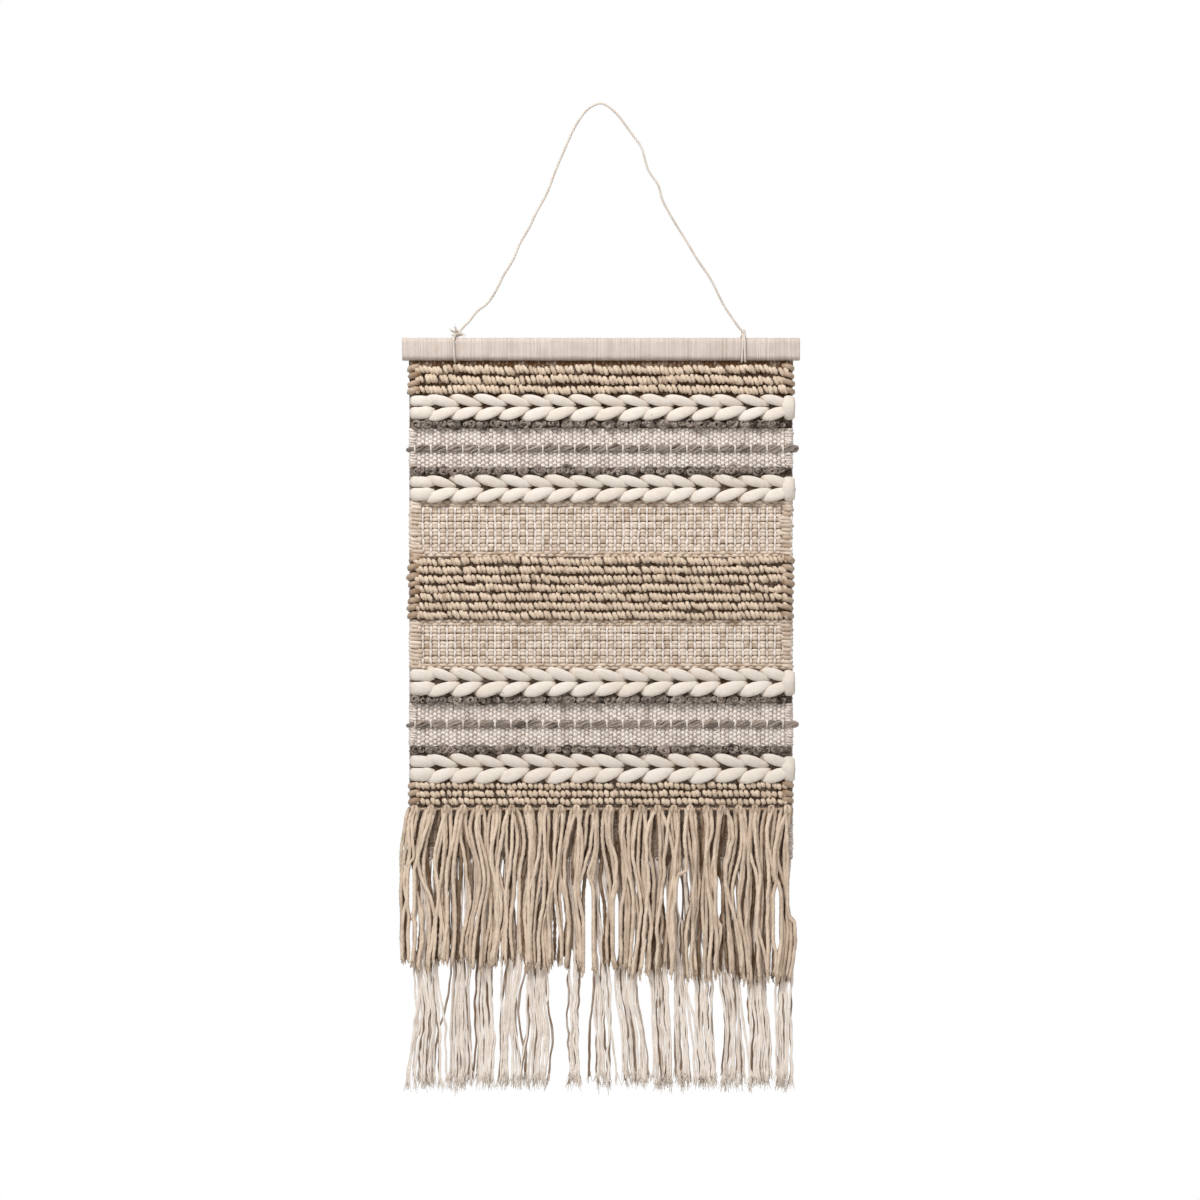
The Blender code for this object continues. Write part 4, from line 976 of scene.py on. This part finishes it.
def front_fringe():
    """Tassels over the fringe cord: strands side by side that drift together, some that cross them, and
    shaded ones behind."""
    groups, steps = 24, 46
    inset = 6.5 * MM
    group_x = np.linspace(-HALF_WIDTH + inset, HALF_WIDTH - inset, groups)
    nodes = [f"front_tassel_{k + 1:02d}" for k in range(groups)]
    ends = np.array([low(node).z for node in nodes])
    start_z = FRINGE_AXIS_Z + 1.5 * MM
    s = np.linspace(0, 1, steps)
    drift = [(length * MM, size * MM, travel, RNG.uniform(0, 1))
             for length, size, travel in ((190, 4.2, 0.5), (83, 3.4, -0.9), (41, 1.8, 1.1))]
    lean = -4.5 * np.exp(-((group_x + HALF_WIDTH) / (220 * MM)) ** 2) - 0.8 + RNG.normal(0, 3.2, groups)
    # strands in each group, their pitch at the end and at the root, depth, radius, tone, loose hairs
    layers = {"yarn": ((3, 6.2, 5.0, -7.2, 2.05, 0.80, 8), (2, 3.0, 4.0, -10.4, 2.0, 0.92, 8)),
              # the strands behind are painted dark on their front halves as shade, light on the halves facing the
              # wall
              "behind": ((4, 4.6, 3.4, -3.0, 1.9, 0.14, 2),)}
    pieces = []
    for label, parts in layers.items():
        yarn = Yarn()
        for per, pitch, root_pitch, y, radius, base, hairs in parts:
            group = np.repeat(np.arange(groups), per)
            strands = len(group)
            rank = np.tile(np.arange(per) - (per - 1) / 2, groups)
            crossing = y < -9
            root = group_x[group] + (rank * root_pitch + RNG.normal(0, 0.4, strands)) * MM
            finish = group_x[group] + (rank * pitch + lean[group] + RNG.normal(0, 3.6, strands)) * MM
            if crossing:
                finish += RNG.normal(-2, 10, strands) * MM
            finish = np.clip(finish, -HALF_WIDTH - 7.0 * MM, HALF_WIDTH + 5.0 * MM)
            bottom = ends[group] + RNG.uniform(0.5, 9, strands) * MM
            ease = (0.35 * (1 - np.exp(-s / 0.07)) + 0.65 * s**1.1)[None]
            swing = sum(size * np.sin(2 * math.pi * (finish[:, None] / length + travel * s[None] + phase))
                        for length, size, travel, phase in drift) * np.sin(math.pi * s**0.8)[None]
            bow = wander(strands, steps, (4.6 if crossing else 3.2) * MM, 1.1) * np.sin(math.pi * s)[None]
            crimp = wander(strands, steps, 0.5 * MM, 5) * np.clip(8 * s, 0, 1)[None]
            settle = np.clip(6 * s, 0, 1)[None]
            paths = np.zeros((strands, steps, 3))
            paths[..., 0] = root[:, None] + (finish - root)[:, None] * ease + swing + bow + crimp
            paths[..., 1] = ((FRINGE_AXIS_Y - 1.6 * MM) * (1 - settle)
                             + (y * MM + RNG.normal(0, 0.9 * MM, (strands, 1))) * settle
                             + wander(strands, steps, 0.5 * MM, 1.6) * settle)
            paths[..., 2] = start_z + (bottom[:, None] - start_z) * s[None]
            part_at_gaps(paths, 2.2 * MM)
            size = radius * RNG.uniform(0.92, 1.08, (strands, 1)) * MM
            tone = base + 0.09 * RNG.normal(0, 1, (strands, 1)) + wander(strands, steps, 0.09, 4)
            # painted shade: each strand darker at its root, under the knots
            yarn.add(paths, size * np.interp(s, [0, 0.04, 0.9, 1], [0.85, 1, 1, 0.9])[None], sides=10,
                     tone=tone * np.interp(s, [0, 0.02, 0.07], [0.5, 0.85, 1])[None],
                     depth=0.17, pitch=15 * MM, lobes=2, behind=0.8)
            for k in range(strands):
                frayed_end(yarn, paths[k, -1] + np.array([0, 0, 3 * MM]), (0.1 * RNG.normal(), 0, -1), 8 * MM,
                           hairs, 0.22, radius=0.6 * MM, tone=base - 0.02)
        if label == "yarn":
            # the knots over the fringe cord
            for x in group_x:
                axis = np.array([x, FRINGE_AXIS_Y, FRINGE_AXIS_Z])
                knot = smooth([off(axis, *point) for point in (
                    (-2.6, -1.5, -5.5), (-2.4, -3.6, -1.0), (-1.8, -0.5, 3.0), (1.8, -0.5, 3.0), (2.4, -3.6, -1.0),
                    (2.6, -1.5, -5.5))], 20)
                yarn.add(knot, 1.9 * MM, sides=8, tone=0.6, tone_spread=0.1, depth=0.13, pitch=19 * MM)
        piece = yarn.build(f"front_fringe_{label}", FRINGE_YARN, "fringe_yarn")
        if label == "yarn":
            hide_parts(*nodes)
        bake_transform(piece)
        pieces.append(piece)
    cord = Yarn()
    x = np.linspace(low("fringe_cord").x, high("fringe_cord").x, 420)
    cord.add(np.stack([x, np.full_like(x, FRINGE_AXIS_Y),
                       FRINGE_AXIS_Z + wander(1, 420, 0.15 * MM, 9)[0]], axis=1),
             1.5 * MM, tone=0.5, depth=0.16, pitch=6 * MM)
    twine = cord.build("fringe_cord_yarn", LOOP_YARN, "loop_yarn")
    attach(twine, "cloth_lower")
    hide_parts("fringe_cord")
    return [*pieces, twine]


# Clumps of the warp fringe: middle, width and number of ends
CLUMPS = ((-0.1975, 0.034, 25), (-0.1590, 0.026, 20), (-0.1320, 0.021, 16), (-0.1040, 0.026, 20),
          (-0.0735, 0.028, 20),
          (-0.0285, 0.013, 10), (0.0030, 0.017, 13), (0.0380, 0.030, 23), (0.0700, 0.024, 18), (0.0950, 0.020, 15),
          (0.1200, 0.023, 17), (0.1490, 0.027, 20), (0.1800, 0.026, 20), (0.2070, 0.019, 14))


def warp_fringe():
    """The warp's ends in clumps: strands side by side, shaded ones behind them, frayed at the cut."""
    nodes = [f"warp_tassel_{k + 1:02d}" for k in range(12)]
    floor_z = min(low(node).z for node in nodes)
    halves = {"left": Yarn(), "right": Yarn()}
    steps = 60
    s = np.linspace(0, 1, steps)
    total = sum(clump[2] for clump in CLUMPS)
    edges = np.linspace(-HALF_WIDTH + 1.6 * MM, HALF_WIDTH - 1.6 * MM, total + 1)
    taken = 0
    for middle, width, ends in CLUMPS:
        yarn = halves["left" if middle < 0 else "right"]
        first, last = edges[taken], edges[taken + ends]
        taken += ends
        sway = wander(1, steps, 3.2 * MM, 1.2) * np.sin(math.pi * s)[None] + wander(1, steps, 0.5 * MM, 7)
        pinch = np.exp(-((s - RNG.uniform(0.45, 0.75)) / 0.25) ** 2)[None] * RNG.uniform(0.10, 0.45)
        # the rear strands are painted dark on their front halves as shade, light on the wall side
        for strands, y, base in ((int(ends * 0.62), -0.6, 0.93), (int(ends * 0.42), 1.5, 0.14)):
            rank = (np.arange(strands) + 0.5) / strands
            root = first + (last - first) * rank + RNG.normal(0, 0.3 * MM, strands)
            finish = middle + (rank - 0.5) * width * 0.94 + RNG.normal(0, 1.3 * MM, strands)
            finish += (RNG.uniform(0, 1, strands) < 0.14) * RNG.normal(0, 11 * MM, strands)
            finish = np.clip(finish, -HALF_WIDTH - 1.5 * MM, HALF_WIDTH + 1.0 * MM)
            bottom = floor_z + 13 * MM + RNG.uniform(-2, 9, strands) * MM + RNG.normal(0, 1.2) * MM
            straight = root[:, None] + (finish - root)[:, None] * s[None] ** 0.8
            paths = np.zeros((strands, steps, 3))
            paths[..., 0] = (straight + (middle - straight) * pinch + sway * np.clip(4 * s, 0, 1)[None]
                             + wander(strands, steps, 2.1 * MM, 1.5) * np.sin(math.pi * s)[None] ** 0.6
                             + wander(strands, steps, 0.6 * MM, 7) * np.clip(s * 8, 0, 1)[None])
            paths[..., 1] = ((y + RNG.normal(0, 0.4, (strands, 1))) * MM * np.clip(s * 8, 0, 1)[None]
                             + wander(strands, steps, 0.35 * MM, 2))
            paths[..., 2] = HEM + 1.0 * MM + (bottom[:, None] - HEM - 1.0 * MM) * s[None]
            part_at_gaps(paths, 1.2 * MM)
            tone = base + 0.12 * RNG.normal(0, 1, (strands, 1)) + wander(strands, steps, 0.12, 4)
            yarn.add(paths, (RNG.uniform(1.15, 1.5, (strands, 1)) * MM
                             * np.interp(s, [0, 0.05, 1], [0.8, 1, 0.9])[None]),
                     sides=7, tone=tone, depth=0.16, pitch=8 * MM, behind=0.85)
            for k in range(strands):
                frayed_end(yarn, paths[k, -3], paths[k, -1] - paths[k, -4], 16 * MM, 9, 0.23, radius=0.42 * MM,
                           tone=max(base, 0.6))
    pieces = []
    for side, own in (("left", nodes[:6]), ("right", nodes[6:])):
        piece = halves[side].build(f"warp_fringe_{side}", WARP_ENDS, "warp_yarn")
        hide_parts(*own)
        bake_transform(piece)
        pieces.append(piece)
    return pieces


# ---------------------------------------------------------------- everything

set_up_view()
hanging_cord()
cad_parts["batten"].data.materials.clear()
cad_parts["batten"].data.materials.append(SOFTWOOD)
winding()
knots()
sheet = ground_sheet()
on_sheet = []
weaves(on_sheet)
on_sheet.append(loop_pile("loop_pile_top", 3, "cloth_upper", 79, 2.6 * MM))
on_sheet.append(loop_pile("loop_pile_middle", 7, "cloth_upper", 79, 2.5 * MM))
on_sheet.append(loop_pile("loop_pile_bottom", 3, "cloth_lower", 68, 2.75 * MM))
two_and_two = ("cloth_upper", "cloth_upper", "cloth_lower", "cloth_lower")
for number, body in enumerate(two_and_two, 1):
    on_sheet.append(braid(f"braid_{number}", body))
for number, body in enumerate(two_and_two, 1):
    on_sheet.append(boucle_row(f"boucle_row_{number}", body))
for number, body in enumerate(("cloth_upper", "cloth_lower"), 1):
    on_sheet += dash_row(f"dash_row_{number}", body)
on_sheet += front_fringe()
on_sheet += warp_fringe()
